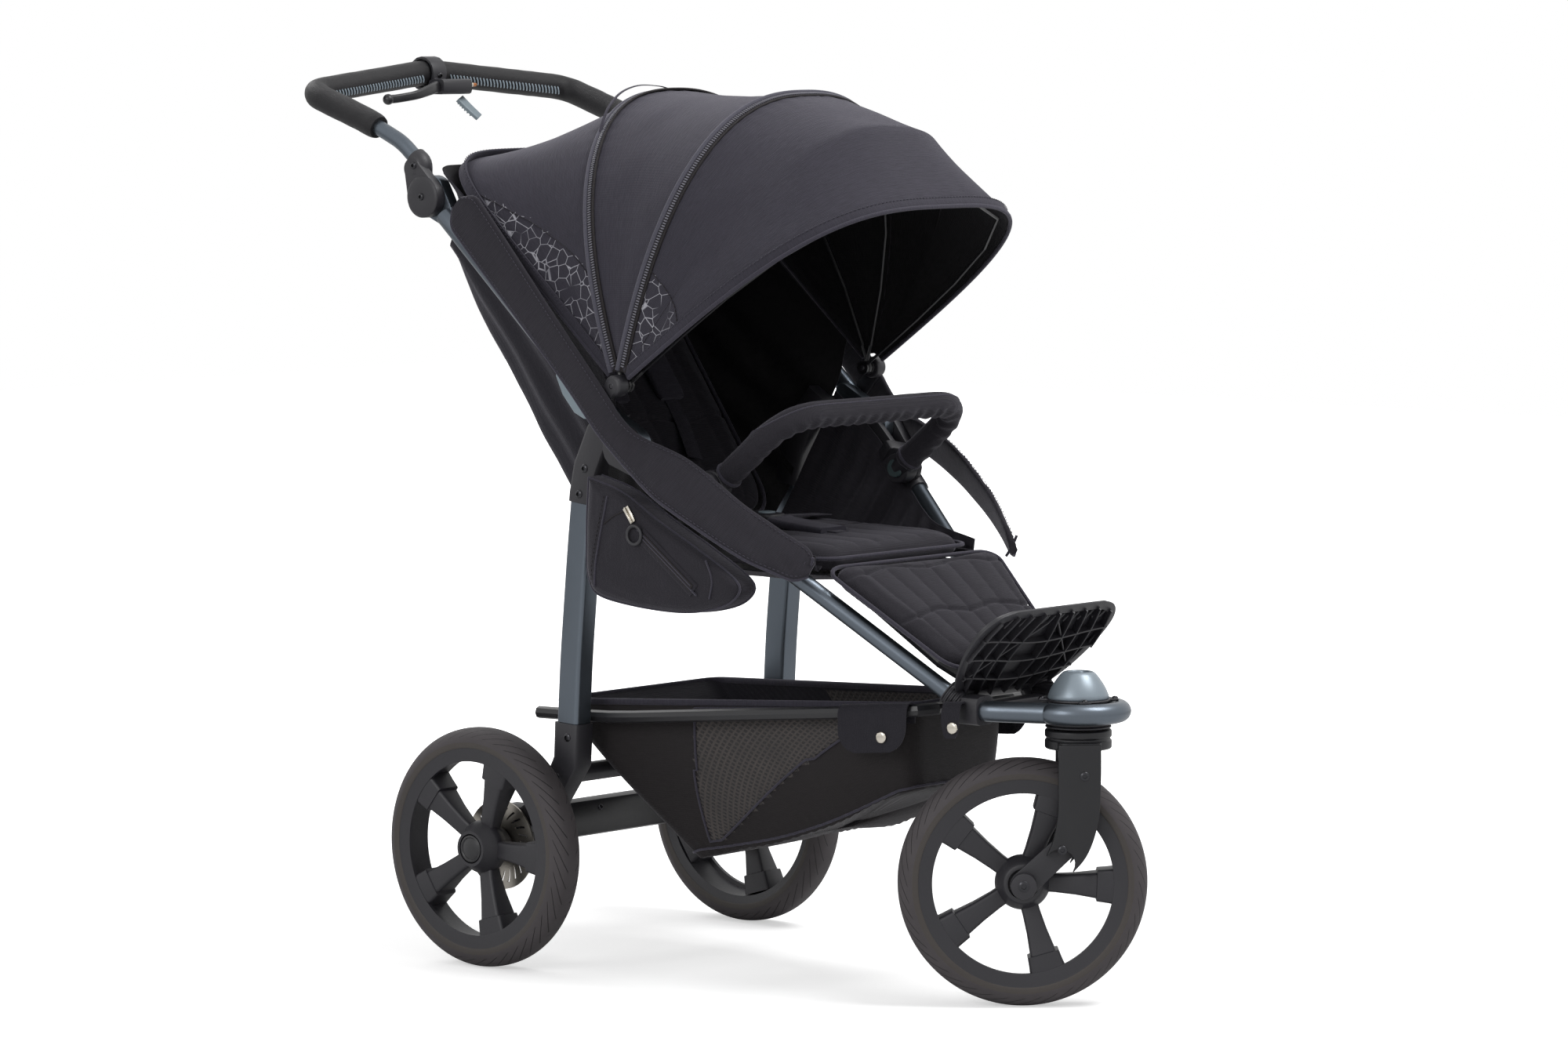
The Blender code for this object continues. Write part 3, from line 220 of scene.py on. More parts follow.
class StrollerSizes(PropertyGroup):
    """Sizes of the finish, in metres"""

    tyre_radius: length_property(
        "Tyre radius", "Radius over the tread", (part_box("front_tyre")[1].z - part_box("front_tyre")[0].z) / 2
    )
    tread_blocks: IntProperty(name="Tread blocks", description="Slanted grooves round one tyre", default=44,
                              min=8)
    thread_pitch: length_property("Thread pitch", "Spacing of the threads in the outer cloth", 0.0016)
    piping_radius: length_property("Piping radius", "Radius of the cord in the canopy's seams", 0.0030)
    tooth_pitch: length_property("Tooth pitch", "Spacing of the zip's teeth", 0.0034)
    lacing_pitch: length_property("Lacing pitch", "Spacing of the stitches on the handle's cover", 0.0058)


class StrollerColours(PropertyGroup):
    """Colours of the finish"""

    aluminium: colour_property("Aluminium", "Anodised frame tubes and legs", "#5f666e")
    black_tube: colour_property("Black tube", "Powder coated steel and the fork", "#1d1d20")
    plastic: colour_property("Black plastic", "Moulded housings and rims", "#222126")
    grey_plastic: colour_property("Grey plastic", "Levers and the parking lock", "#7b8890")
    cone: colour_property("Headset cone", "Satin paint of the cone", "#87929b")
    rubber: colour_property("Rubber", "Tread and shoulder of the tyres", "#454143")
    sidewall: colour_property("Sidewall", "Ring beside the rim", "#3a3532")
    cloth: colour_property("Outer cloth", "Canopy, seat and bumper cloth", "#312f38")
    pad: colour_property("Pad cloth", "Cloth of the seat, bands, bag and bumper", "#211f25")
    basket: colour_property("Basket cloth", "Coated cloth of the basket", "#171314")
    lining: colour_property("Lining", "Inside of the canopy and back of the seat", "#0b0a0c")
    net: colour_property("Net", "Basket windows", "#3d3735")
    leather: colour_property("Leatherette", "Cover of the handle", "#151417")
    thread: colour_property("Thread", "Lacing of the handle's cover", "#98a5af")
    steel: colour_property("Steel", "Brake discs", "#a8a39b")
    floor: colour_property("Floor", "Studio floor", "#f4f4f4")


# Shape helpers


def at(x, y, z):
    """A point given from the rear axle, in the stroller's own frame."""
    return Vector((x, y + REAR_AXLE_Y, z))


def polar(centre, radius, degrees):
    """The (y, z) point at this distance and angle from centre, 0 degrees to the rear and 90 up."""
    a = math.radians(degrees)
    return centre[0] + radius * math.cos(a), centre[1] + radius * math.sin(a)


def mix(a, b, t):
    return a + (b - a) * t


def ease(t):
    t = max(0.0, min(1.0, t))
    return t * t * (3 - 2 * t)


def circle(radius, sides=28):
    angles = [2 * math.pi * k / sides for k in range(sides)]
    return [(radius * math.cos(a), radius * math.sin(a)) for a in angles]


def rounded_rectangle(width, height, radius, steps=4):
    points = []
    for sx, sy, start in ((1, 1, 0), (-1, 1, 90), (-1, -1, 180), (1, -1, 270)):
        cx, cy = sx * (width / 2 - radius), sy * (height / 2 - radius)
        for k in range(steps + 1):
            a = math.radians(start + 90 * k / steps)
            points.append((cx + radius * math.cos(a), cy + radius * math.sin(a)))
    return points


def rounded_path(corners, radius, steps=8):
    """The corners' polyline with each inner corner turned into a curve."""
    points = [Vector(corners[0])]
    for before, corner, after in zip(corners, corners[1:], corners[2:]):
        corner = Vector(corner)
        back, on = Vector(before) - corner, Vector(after) - corner
        reach = min(radius, back.length * 0.49, on.length * 0.49)
        start, end = corner + back.normalized() * reach, corner + on.normalized() * reach
        for k in range(steps + 1):
            t = k / steps
            points.append(start * (1 - t) ** 2 + corner * 2 * t * (1 - t) + end * t**2)
    points.append(Vector(corners[-1]))
    return points


def through(points, steps=8):
    """A smooth curve through the points."""
    points = [Vector(p) for p in points]
    found = []
    for k in range(len(points) - 1):
        p1, p2 = points[k], points[k + 1]
        p0 = points[k - 1] if k else p1 * 2 - p2
        p3 = points[k + 2] if k + 2 < len(points) else p2 * 2 - p1
        for s in range(steps):
            t = s / steps
            a = p1 * 2 + (p2 - p0) * t + (p0 * 2 - p1 * 5 + p2 * 4 - p3) * t**2
            found.append((a + (p1 * 3 - p0 - p2 * 3 + p3) * t**3) / 2)
    return found + [points[-1]]


def evenly(points, steps):
    """The polyline's points at steps + 1 even distances along it."""
    lengths = [(b - a).length for a, b in zip(points, points[1:])]
    total, found, done, index = sum(lengths), [points[0]], 0.0, 0
    for k in range(1, steps):
        wanted = total * k / steps
        while done + lengths[index] < wanted:
            done += lengths[index]
            index += 1
        found.append(points[index].lerp(points[index + 1], (wanted - done) / lengths[index]))
    return found + [points[-1]]


def length_of(points):
    return sum((b - a).length for a, b in zip(points, points[1:]))


def path_frames(points, side):
    """(along, across, up) at each point, square to the path."""
    frames = []
    side = Vector(side)
    for k, point in enumerate(points):
        ahead = (points[min(k + 1, len(points) - 1)] - point).normalized()
        behind = (point - points[max(k - 1, 0)]).normalized()
        along = (ahead + behind).normalized()
        across = (side - along * side.dot(along)).normalized()
        frames.append((along, across, along.cross(across)))
        side = across
    return frames


def skin(bm, rings, closed=True, looped=False, slot=0):
    """Faces between rings of vertices, with UVs in metres round and along them."""
    uv = bm.loops.layers.uv.verify()
    count = len(rings[0])
    middle = rings[len(rings) // 2]
    across = [0.0]
    for k in range(count):
        across.append(across[-1] + (middle[(k + 1) % count].co - middle[k].co).length)
    along = 0.0
    made = []
    for a, b in list(zip(rings, rings[1:])) + ([(rings[-1], rings[0])] if looped else []):
        step = sum((q.co - p.co).length for p, q in zip(a, b)) / count
        for k in range(count if closed else count - 1):
            j = (k + 1) % count
            face = bm.faces.new((a[k], a[j], b[j], b[k]))
            face.material_index = slot
            corners = ((across[k], along), (across[k + 1], along), (across[k + 1], along + step),
                       (across[k], along + step))
            for loop, place in zip(face.loops, corners):
                loop[uv].uv = place
            made.append(face)
        along += step
    return made


def ring_of(bm, points):
    return [bm.verts.new(p) for p in points]


def capped(bm, rings, slot=0):
    """A closed solid over rings of vertices."""
    skin(bm, rings, slot=slot)
    for ring in (rings[0], rings[-1]):
        bm.faces.new(ring).material_index = slot
    return bm


def sweep(points, section, side=(1, 0, 0), scales=None, bm=None, caps=True, slot=0):
    """A solid along the points, whose section's first axis follows side."""
    bm = bm or bmesh.new()
    rings = []
    for k, (point, (_, across, up)) in enumerate(zip(points, path_frames(points, side))):
        scale = scales[k] if scales else 1.0
        rings.append(ring_of(bm, [point + (across * u + up * v) * scale for u, v in section]))
    if caps:
        return capped(bm, rings, slot)
    skin(bm, rings, slot=slot)
    return bm


def lathe(profile, centre, axis=(1, 0, 0), sides=64, bm=None, slot=0, looped=None):
    """Turns a profile of (distance along the axis, radius) about the axis. A radius of 0 closes an end."""
    bm = bm or bmesh.new()
    axis, centre = Vector(axis).normalized(), Vector(centre)
    helper = Vector((0, 0, 1)) if abs(axis.z) < 0.9 else Vector((0, 1, 0))
    across = helper.cross(axis).normalized()
    up = axis.cross(across)
    rings, caps = [], []
    for place, (along, radius) in enumerate(profile):
        if radius == 0:
            caps.append((place, bm.verts.new(centre + axis * along)))
            continue
        middle = centre + axis * along
        rings.append(ring_of(bm, [middle + (across * u + up * v) * radius for u, v in circle(1, sides)]))
    closed = looped if looped is not None else not caps
    skin(bm, rings, looped=closed, slot=slot)
    for place, tip in caps:
        ring = rings[0] if place == 0 else rings[-1]
        for k in range(sides):
            bm.faces.new((ring[k], ring[(k + 1) % sides], tip)).material_index = slot
    return bm


def shaft(bm, low, high, radius, centre, axis=(1, 0, 0)):
    """A plain pin between two distances along its axis."""
    lathe([(low, 0.0), (low, radius), (high, radius), (high, 0.0)], centre, axis, 24, bm)


def extrude(outline, low, high, place, bm=None):
    """A flat plate between two depths. place turns (a, b, depth) into a point."""
    bm = bm or bmesh.new()
    return capped(bm, [ring_of(bm, [place(a, b, depth) for a, b in outline]) for depth in (low, high)])


def side_plate(outline, side, near, far, bm):
    """A plate with a (y, z) outline, on one side of the stroller between two distances from the middle."""
    extrude(outline, *sorted((side * near, side * far)), lambda a, b, depth: at(depth, a, b), bm)


def bar_outline(a, b, half_width, end_radius=None, steps=14):
    """The (y, z) outline of a flat bar from a to b, with round ends."""
    heading = math.atan2(b[1] - a[1], b[0] - a[0])
    points = []
    for centre, radius, turn in ((b, end_radius or half_width, -90), (a, half_width, 90)):
        for k in range(steps + 1):
            angle = heading + math.radians(turn + 180 * k / steps)
            points.append((centre[0] + radius * math.cos(angle), centre[1] + radius * math.sin(angle)))
    return points


def round_edges(bm, width, segments=2, over=35.0):
    """Rounds every edge that turns more than this many degrees."""
    edges = [e for e in bm.edges if len(e.link_faces) == 2 and e.calc_face_angle(0.0) > math.radians(over)]
    bmesh.ops.bevel(bm, geom=edges, offset=width, segments=segments, profile=0.5, affect="EDGES",
                    clamp_overlap=True)
    return bm


def mesh_of(name, bm):
    """The finished mesh, with bm let go."""
    mesh = bpy.data.meshes.new(name)
    bm.to_mesh(mesh)
    bm.free()
    return mesh


def place_object(name, mesh, materials, body=None, replaces=()):
    """Puts the mesh in the scene with its materials, on a body and in place of solids if they are named."""
    obj = bpy.data.objects.new(name, mesh)
    bpy.context.scene.collection.objects.link(obj)
    for material in materials if isinstance(materials, (list, tuple)) else [materials]:
        mesh.materials.append(MATERIALS[material])
    if body:
        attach(obj, body)
    if replaces:
        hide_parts(*replaces)
    return obj


def shown(name, bm, materials, body=None, replaces=(), edges=0.0, segments=2, smooth=42.0):
    """Makes the mesh a shown piece: rounds its edges, shades it and lets it ride on a body."""
    bmesh.ops.recalc_face_normals(bm, faces=bm.faces)
    if edges:
        round_edges(bm, edges, segments)
    mesh = mesh_of(name, bm)
    mesh.shade_smooth()
    mesh.set_sharp_from_angle(angle=math.radians(smooth))
    return place_object(name, mesh, materials, body, replaces)


def refined(node, name, material, edges, segments=2):
    """A finished copy of a solid: its facets joined and its edges rounded. It replaces the plain one."""
    source = frame["nodes"][node]
    bm = bmesh.new()
    bm.from_mesh(source.data)
    bmesh.ops.remove_doubles(bm, verts=bm.verts, dist=0.00002)
    bmesh.ops.dissolve_limit(bm, angle_limit=math.radians(1.5), verts=bm.verts, edges=bm.edges)
    return shown(name, bm, material, source["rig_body"], (node,), edges, segments)


def add_screws(name, body, places, radius=0.0052):
    """Round-headed screws with a sunk socket. places holds (centre, direction) pairs."""
    head = [(-0.001, radius), (0.0008, radius), (0.0019, radius * 0.80), (0.0024, radius * 0.52)]
    head += [(0.0024, radius * 0.46), (0.0006, radius * 0.42), (0.0006, 0)]
    bm = bmesh.new()
    for centre, direction in places:
        lathe(head, centre, direction, 18, bm)
    return shown(name, bm, "zinc_plated_screw", body)


# Materials

MATERIALS = {}


def add(tree, kind, settings=None, links=None):
    """Adds a shader node with its settings and links."""
    made = tree.nodes.new("ShaderNode" + kind)
    for key, value in (settings or {}).items():
        if isinstance(key, int) or key in made.inputs:
            made.inputs[key].default_value = value
        else:
            setattr(made, key, value)
    for key, source in (links or {}).items():
        tree.links.new(source, made.inputs[key])
    return made


def start_material(name, colour, constants):
    """A Principled material with its constants on the shader's own sockets."""
    material = bpy.data.materials.new(name)
    material.use_nodes = True
    shader = material.node_tree.nodes["Principled BSDF"]
    shader.inputs["Base Color"].default_value = (*colour, 1.0)
    for key, value in constants.items():
        shader.inputs[key].default_value = value
    material.diffuse_color = (*colour, 1.0)
    MATERIALS[name] = material
    return material.node_tree, shader


def shade(colour, factor):
    return (*(min(1.0, c * factor) for c in colour), 1.0)


def colour_between(tree, shader, factor, low, high):
    ramp = add(tree, "Mix", {"data_type": "RGBA"}, {0: factor})
    ramp.inputs[6].default_value, ramp.inputs[7].default_value = low, high
    tree.links.new(ramp.outputs[2], shader.inputs["Base Color"])
    return ramp


def roughness_between(tree, shader, factor, low, high):
    spread = add(tree, "MapRange", {3: low, 4: high}, {0: factor})
    tree.links.new(spread.outputs[0], shader.inputs["Roughness"])


def bump(tree, shader, height, distance, strength=1.0, under=None):
    made = add(tree, "Bump", {"Distance": distance, "Strength": strength}, {"Height": height})
    if under:
        tree.links.new(under.outputs[0], made.inputs["Normal"])
    tree.links.new(made.outputs[0], shader.inputs["Normal"])
    return made


def object_noise(tree, millimetres, detail=2.0, stretch=(1, 1, 1)):
    """Noise whose features are about this size, over the piece's own shape."""
    coords = add(tree, "TexCoord")
    mapped = add(tree, "Mapping", {"Scale": stretch}, {0: coords.outputs["Object"]})
    settings = {"Scale": 1000 / millimetres / 2, "Detail": detail}
    return add(tree, "TexNoise", settings, {0: mapped.outputs[0]}).outputs[0]


def grained(name, colour, metallic, roughness, grain, depth, spread=0.06, extra=None):
    """A hard surface with a fine grain: clouds in its gloss and colour, and a bump of the grain's size."""
    tree, shader = start_material(name, colour, {"Metallic": metallic, "Roughness": roughness, **(extra or {})})
    clouds = object_noise(tree, 45, 3)
    colour_between(tree, shader, clouds, shade(colour, 0.86), shade(colour, 1.14))
    fine = object_noise(tree, grain)
    roughness_between(tree, shader, fine, roughness - spread, roughness + spread)
    bump(tree, shader, fine, depth)


def bands(tree, coords, pitch, direction, shift=0.0, distortion=0.0):
    """Even bands of this pitch in metres. A wave texture of scale 1 repeats every 0.314 m."""
    settings = {"wave_type": "BANDS", "bands_direction": direction, "Scale": 0.31416 / pitch}
    settings.update({"Distortion": distortion, "Phase Offset": shift, "Detail": 0.0})
    return add(tree, "TexWave", settings, {0: coords}).outputs["Fac"]


def woven(name, colour, pitch, source="UV", sheen=0.25, melange=0.16, roughness=0.8, bump_depth=0.0004):
    """Plain-woven cloth. Mixed yarns give it its flecks, and the fibres' sheen lightens it at a low angle."""
    constants = {"Roughness": roughness, "Sheen Weight": sheen, "Sheen Roughness": 0.45,
                 "Specular IOR Level": 0.25}
    tree, shader = start_material(name, colour, constants)
    shader.inputs["Sheen Tint"].default_value = shade([0.72, 0.70, 0.80], 1.0)
    coords = add(tree, "TexCoord").outputs[source]
    warp = bands(tree, coords, pitch, "X")
    weft = bands(tree, coords, pitch, "Y")
    cloth = add(tree, "Math", {"operation": "MULTIPLY"}, {0: warp, 1: weft}).outputs[0]
    # The slubs run along the weft: 1 mm wide and about 15 mm long.
    stretched = add(tree, "Mapping", {"Scale": (0.09, 1.0, 1.0)}, {0: coords}).outputs[0]
    slubs = add(tree, "TexNoise", {"Scale": 620.0, "Detail": 2.0, "Roughness": 0.6}, {0: stretched}).outputs[0]
    wide = add(tree, "TexNoise", {"Scale": 14.0, "Detail": 2.0}, {0: coords}).outputs[0]
    fleck = add(tree, "Math", {"operation": "MULTIPLY_ADD", 1: 0.75, 2: 0.0}, {0: slubs}).outputs[0]
    both = add(tree, "Math", {"operation": "MULTIPLY_ADD", 1: 0.25}, {0: wide, 2: fleck}).outputs[0]
    sharp = add(tree, "MapRange", {1: 0.35, 2: 0.65}, {0: both}).outputs[0]
    colour_between(tree, shader, sharp, shade(colour, 1 - melange), shade(colour, 1 + melange))
    height = add(tree, "Math", {"operation": "ADD"}, {0: cloth, 1: sharp}).outputs[0]
    bump(tree, shader, height, bump_depth, 0.6)
    return tree, shader


def make_materials(colours, sizes):
    c = {key: list(getattr(colours, key)) for key in StrollerColours.__annotations__}
    # Anodised aluminium: a satin metal with a faint drawn grain and cool grey tone.
    grained("anodised_aluminium", c["aluminium"], 0.95, 0.36, 1.2, 0.00003)
    # Powder coated steel: nearly black, with the soft orange peel of baked paint.
    grained("powder_coated_steel", c["black_tube"], 0.0, 0.36, 2.5, 0.00008)
    # Painted cast aluminium, satin, for the fork.
    grained("satin_painted_aluminium", c["black_tube"], 0.25, 0.42, 1.6, 0.00005)
    # Glass-filled nylon: a matt charcoal with moulded grain.
    grained("moulded_black_nylon", c["plastic"], 0.0, 0.50, 1.4, 0.00008)
    # Dark green-grey nylon of the bumper's buttons, satin.
    grained("moulded_dark_button", srgb("#3c4a4c"), 0.0, 0.38, 1.6, 0.00005)
    # Grey nylon of the parts that are worked by hand.
    grained("moulded_grey_nylon", c["grey_plastic"], 0.0, 0.42, 1.6, 0.00005)
    # Satin paint on the headset cone: a silky grey with a soft highlight.
    grained("satin_painted_cone", c["cone"], 0.35, 0.36, 1.4, 0.00002)
    # Ground steel: light, with rings from the grinding wheel.
    grained("ground_steel", c["steel"], 1.0, 0.33, 0.9, 0.00003)
    # Zinc-plated screws, blackened.
    grained("zinc_plated_screw", srgb("#3a3a3d"), 0.9, 0.28, 1.5, 0.00002)
    # Nickel-plated zip sliders, studs and ferrules: bright and smooth.
    grained("nickel_plated_brass", srgb("#c9c3b8"), 1.0, 0.20, 1.5, 0.00001)
    # Bare copper of the cable's ferrule: a small warm glint.
    grained("bare_copper", srgb("#b4703f"), 1.0, 0.30, 1.5, 0.00001)
    # Zip teeth: grey nylon coil.
    grained("zip_nylon", srgb("#6a6972"), 0.0, 0.42, 0.8, 0.00003)
    make_rubber(c, sizes)
    pitch = sizes.thread_pitch
    # The outer cloth: matt charcoal, with the flecks of its mixed yarns.
    woven("woven_polyester", c["cloth"], pitch)
    # The same cloth, quilted over foam and dyed darker.
    woven("woven_polyester_pad", c["pad"], pitch, source="Object", sheen=0.2)
    # The side bands: a shade lighter, over soft wadding.
    woven("padded_polyester", shade(c["pad"], 1.15)[:3], pitch, sheen=0.22)
    # The walls beside the seat: the pads' colour, with threads that follow the folds.
    woven("seat_cloth", c["pad"], pitch, sheen=0.2)
    # Coated cloth of the basket and the zip tapes: smoother, brown-black.
    woven("coated_polyester", c["basket"], pitch, sheen=0.10, melange=0.12, roughness=0.62)
    # Lining: black and smooth, so that the inside falls into shadow.
    woven("lining_taffeta", c["lining"], pitch, sheen=0.10, melange=0.12, roughness=0.65)
    # Behind and under the seat, and inside the basket: nearly black and matt.
    woven("seat_back_cloth", shade(c["cloth"], 0.42)[:3], pitch, source="Object", sheen=0.15, melange=0.15)
    # Tape over the canopy's cords: paler, so that the seams show as lines.
    woven("piping_tape", srgb("#4e4d57"), pitch, sheen=0.3, melange=0.12)
    # Tape round cut edges: a little lighter than the cloth it binds.
    woven("binding_tape", shade(c["cloth"], 1.25)[:3], pitch, sheen=0.3, melange=0.12)
    # Harness webbing: coarse ribs across a flat dark strap.
    woven("harness_webbing", shade(c["cloth"], 0.7)[:3], 0.0024, sheen=0.15, melange=0.12, bump_depth=0.0007)
    make_print(c, pitch)
    make_net(c)
    make_leather(c)
    # Spun thread of the lacing, laid on the cover in slanted loops.
    grained("spun_thread", c["thread"], 0.0, 0.65, 0.8, 0.0001)


def make_rubber(c, sizes):
    """Tyre rubber: a dusty brown-black with slanted grooves cut in the tread and painted dark for the shade
    inside them, and a smoother sidewall.
    """
    tree, shader = start_material("tyre_tread_rubber", c["rubber"],
                                  {"Roughness": 0.68, "Specular IOR Level": 0.35})
    coords = add(tree, "TexCoord").outputs["UV"]
    split = add(tree, "SeparateXYZ", None, {0: coords})
    off = add(tree, "Math", {"operation": "SUBTRACT", 1: SECTION_HALF}, {0: split.outputs[1]}).outputs[0]
    off = add(tree, "Math", {"operation": "ABSOLUTE"}, {0: off}).outputs[0]
    pitch = 2 * math.pi * sizes.tyre_radius / sizes.tread_blocks
    curve = add(tree, "Math", {"operation": "POWER", 1: 1.6}, {0: off}).outputs[0]
    lean = add(tree, "Math", {"operation": "MULTIPLY_ADD", 1: 16.0}, {0: curve, 2: split.outputs[0]}).outputs[0]
    turns = add(tree, "Math", {"operation": "DIVIDE", 1: pitch}, {0: lean}).outputs[0]
    saw = add(tree, "Math", {"operation": "FRACT"}, {0: turns}).outputs[0]
    groove = add(tree, "MapRange", {1: 0.05, 2: 0.11, 3: 1.0, 4: 0.0}, {0: saw}).outputs[0]
    outer = add(tree, "MapRange", {1: 0.0255, 2: 0.0270, 3: 1.0, 4: 0.0}, {0: off}).outputs[0]
    inner = add(tree, "MapRange", {1: 0.0060, 2: 0.0072}, {0: off}).outputs[0]
    band = add(tree, "Math", {"operation": "MULTIPLY"}, {0: outer, 1: inner}).outputs[0]
    groove = add(tree, "Math", {"operation": "MULTIPLY"}, {0: groove, 1: band}).outputs[0]
    dust = object_noise(tree, 18, 4)
    colour_between(tree, shader, dust, shade(c["rubber"], 0.80), shade(c["rubber"], 1.18))
    # Painted shade: the grooves' colour is darkened to a quarter, for the shade that falls inside them.
    painted_groove_shade = add(tree, "Mix", {"data_type": "RGBA"},
                 {0: groove, 6: shader.inputs["Base Color"].links[0].from_socket})
    painted_groove_shade.inputs[7].default_value = shade(c["rubber"], 0.25)
    tree.links.new(painted_groove_shade.outputs[2], shader.inputs["Base Color"])
    cut = add(tree, "Math", {"operation": "SUBTRACT", 0: 1.0}, {1: groove}).outputs[0]
    under = bump(tree, shader, object_noise(tree, 2.0), 0.0001)
    bump(tree, shader, cut, 0.0016, 1.0, under)
    grained("tyre_sidewall_rubber", c["sidewall"], 0.0, 0.62, 2.4, 0.0001)


def make_print(c, pitch):
    """The outer cloth with a fine printed net of pale lines, broken here and there as a worn print is."""
    tree, shader = woven("printed_polyester", c["cloth"], pitch)
    coords = add(tree, "TexCoord").outputs["Object"]
    # Cells of about 16 mm, with lines 0.6 mm wide. The real print is half as heavy, too fine to show here.
    cells = add(tree, "TexVoronoi", {"feature": "DISTANCE_TO_EDGE", "Scale": 62.0}, {0: coords})
    line = add(tree, "MapRange", {1: 0.012, 2: 0.030, 3: 1.0, 4: 0.0},
               {0: cells.outputs["Distance"]}).outputs[0]
    gaps = add(tree, "TexNoise", {"Scale": 26.0, "Detail": 1.0}, {0: coords}).outputs[0]
    worn = add(tree, "MapRange", {1: 0.30, 2: 0.46}, {0: gaps}).outputs[0]
    ink = add(tree, "Math", {"operation": "MULTIPLY"}, {0: line, 1: worn}).outputs[0]
    printed = add(tree, "Mix", {"data_type": "RGBA"},
                  {0: ink, 6: shader.inputs["Base Color"].links[0].from_socket})
    printed.inputs[7].default_value = (*srgb("#a9a8b0"), 1.0)
    tree.links.new(printed.outputs[2], shader.inputs["Base Color"])


def make_net(c):
    """Knitted net of the basket's windows: pale threads round dark holes, 3 mm apart so that they show."""
    tree, shader = start_material("knitted_net", c["net"], {"Roughness": 0.7, "Sheen Weight": 0.1})
    coords = add(tree, "TexCoord").outputs["UV"]
    one = bands(tree, coords, 0.0046, "DIAGONAL")
    mapped = add(tree, "Mapping", {"Scale": (-1.0, 1.0, 1.0)}, {0: coords}).outputs[0]
    two = bands(tree, mapped, 0.0046, "DIAGONAL")
    thread = add(tree, "Math", {"operation": "MAXIMUM"}, {0: one, 1: two}).outputs[0]
    shown_thread = add(tree, "MapRange", {1: 0.45, 2: 0.85}, {0: thread}).outputs[0]
    clouds = add(tree, "TexNoise", {"Scale": 18.0, "Detail": 2.0}, {0: coords}).outputs[0]
    weight = add(tree, "MapRange", {1: 0.3, 2: 0.7, 3: 0.55, 4: 1.0}, {0: clouds}).outputs[0]
    amount = add(tree, "Math", {"operation": "MULTIPLY"}, {0: shown_thread, 1: weight}).outputs[0]
    colour_between(tree, shader, amount, (*srgb("#161314"), 1.0), (*c["net"], 1.0))
    bump(tree, shader, shown_thread, 0.0005)


def make_leather(c):
    """Leatherette: soft pebbled grain and a satin coat."""
    constants = {"Roughness": 0.55, "Coat Weight": 0.05, "Coat Roughness": 0.45, "Specular IOR Level": 0.3}
    tree, shader = start_material("embossed_leatherette", c["leather"], constants)
    coords = add(tree, "TexCoord").outputs["Object"]
    cells = add(tree, "TexVoronoi", {"feature": "DISTANCE_TO_EDGE", "Scale": 520.0},
                {0: coords}).outputs["Distance"]
    pebbles = add(tree, "MapRange", {1: 0.0, 2: 0.25}, {0: cells}).outputs[0]
    colour_between(tree, shader, pebbles, shade(c["leather"], 0.7), shade(c["leather"], 1.1))
    creases = bump(tree, shader, object_noise(tree, 20, 3, (1, 1, 0.3)), 0.0008, 0.6)
    bump(tree, shader, pebbles, 0.00025, 0.7, creases)


# Wheels


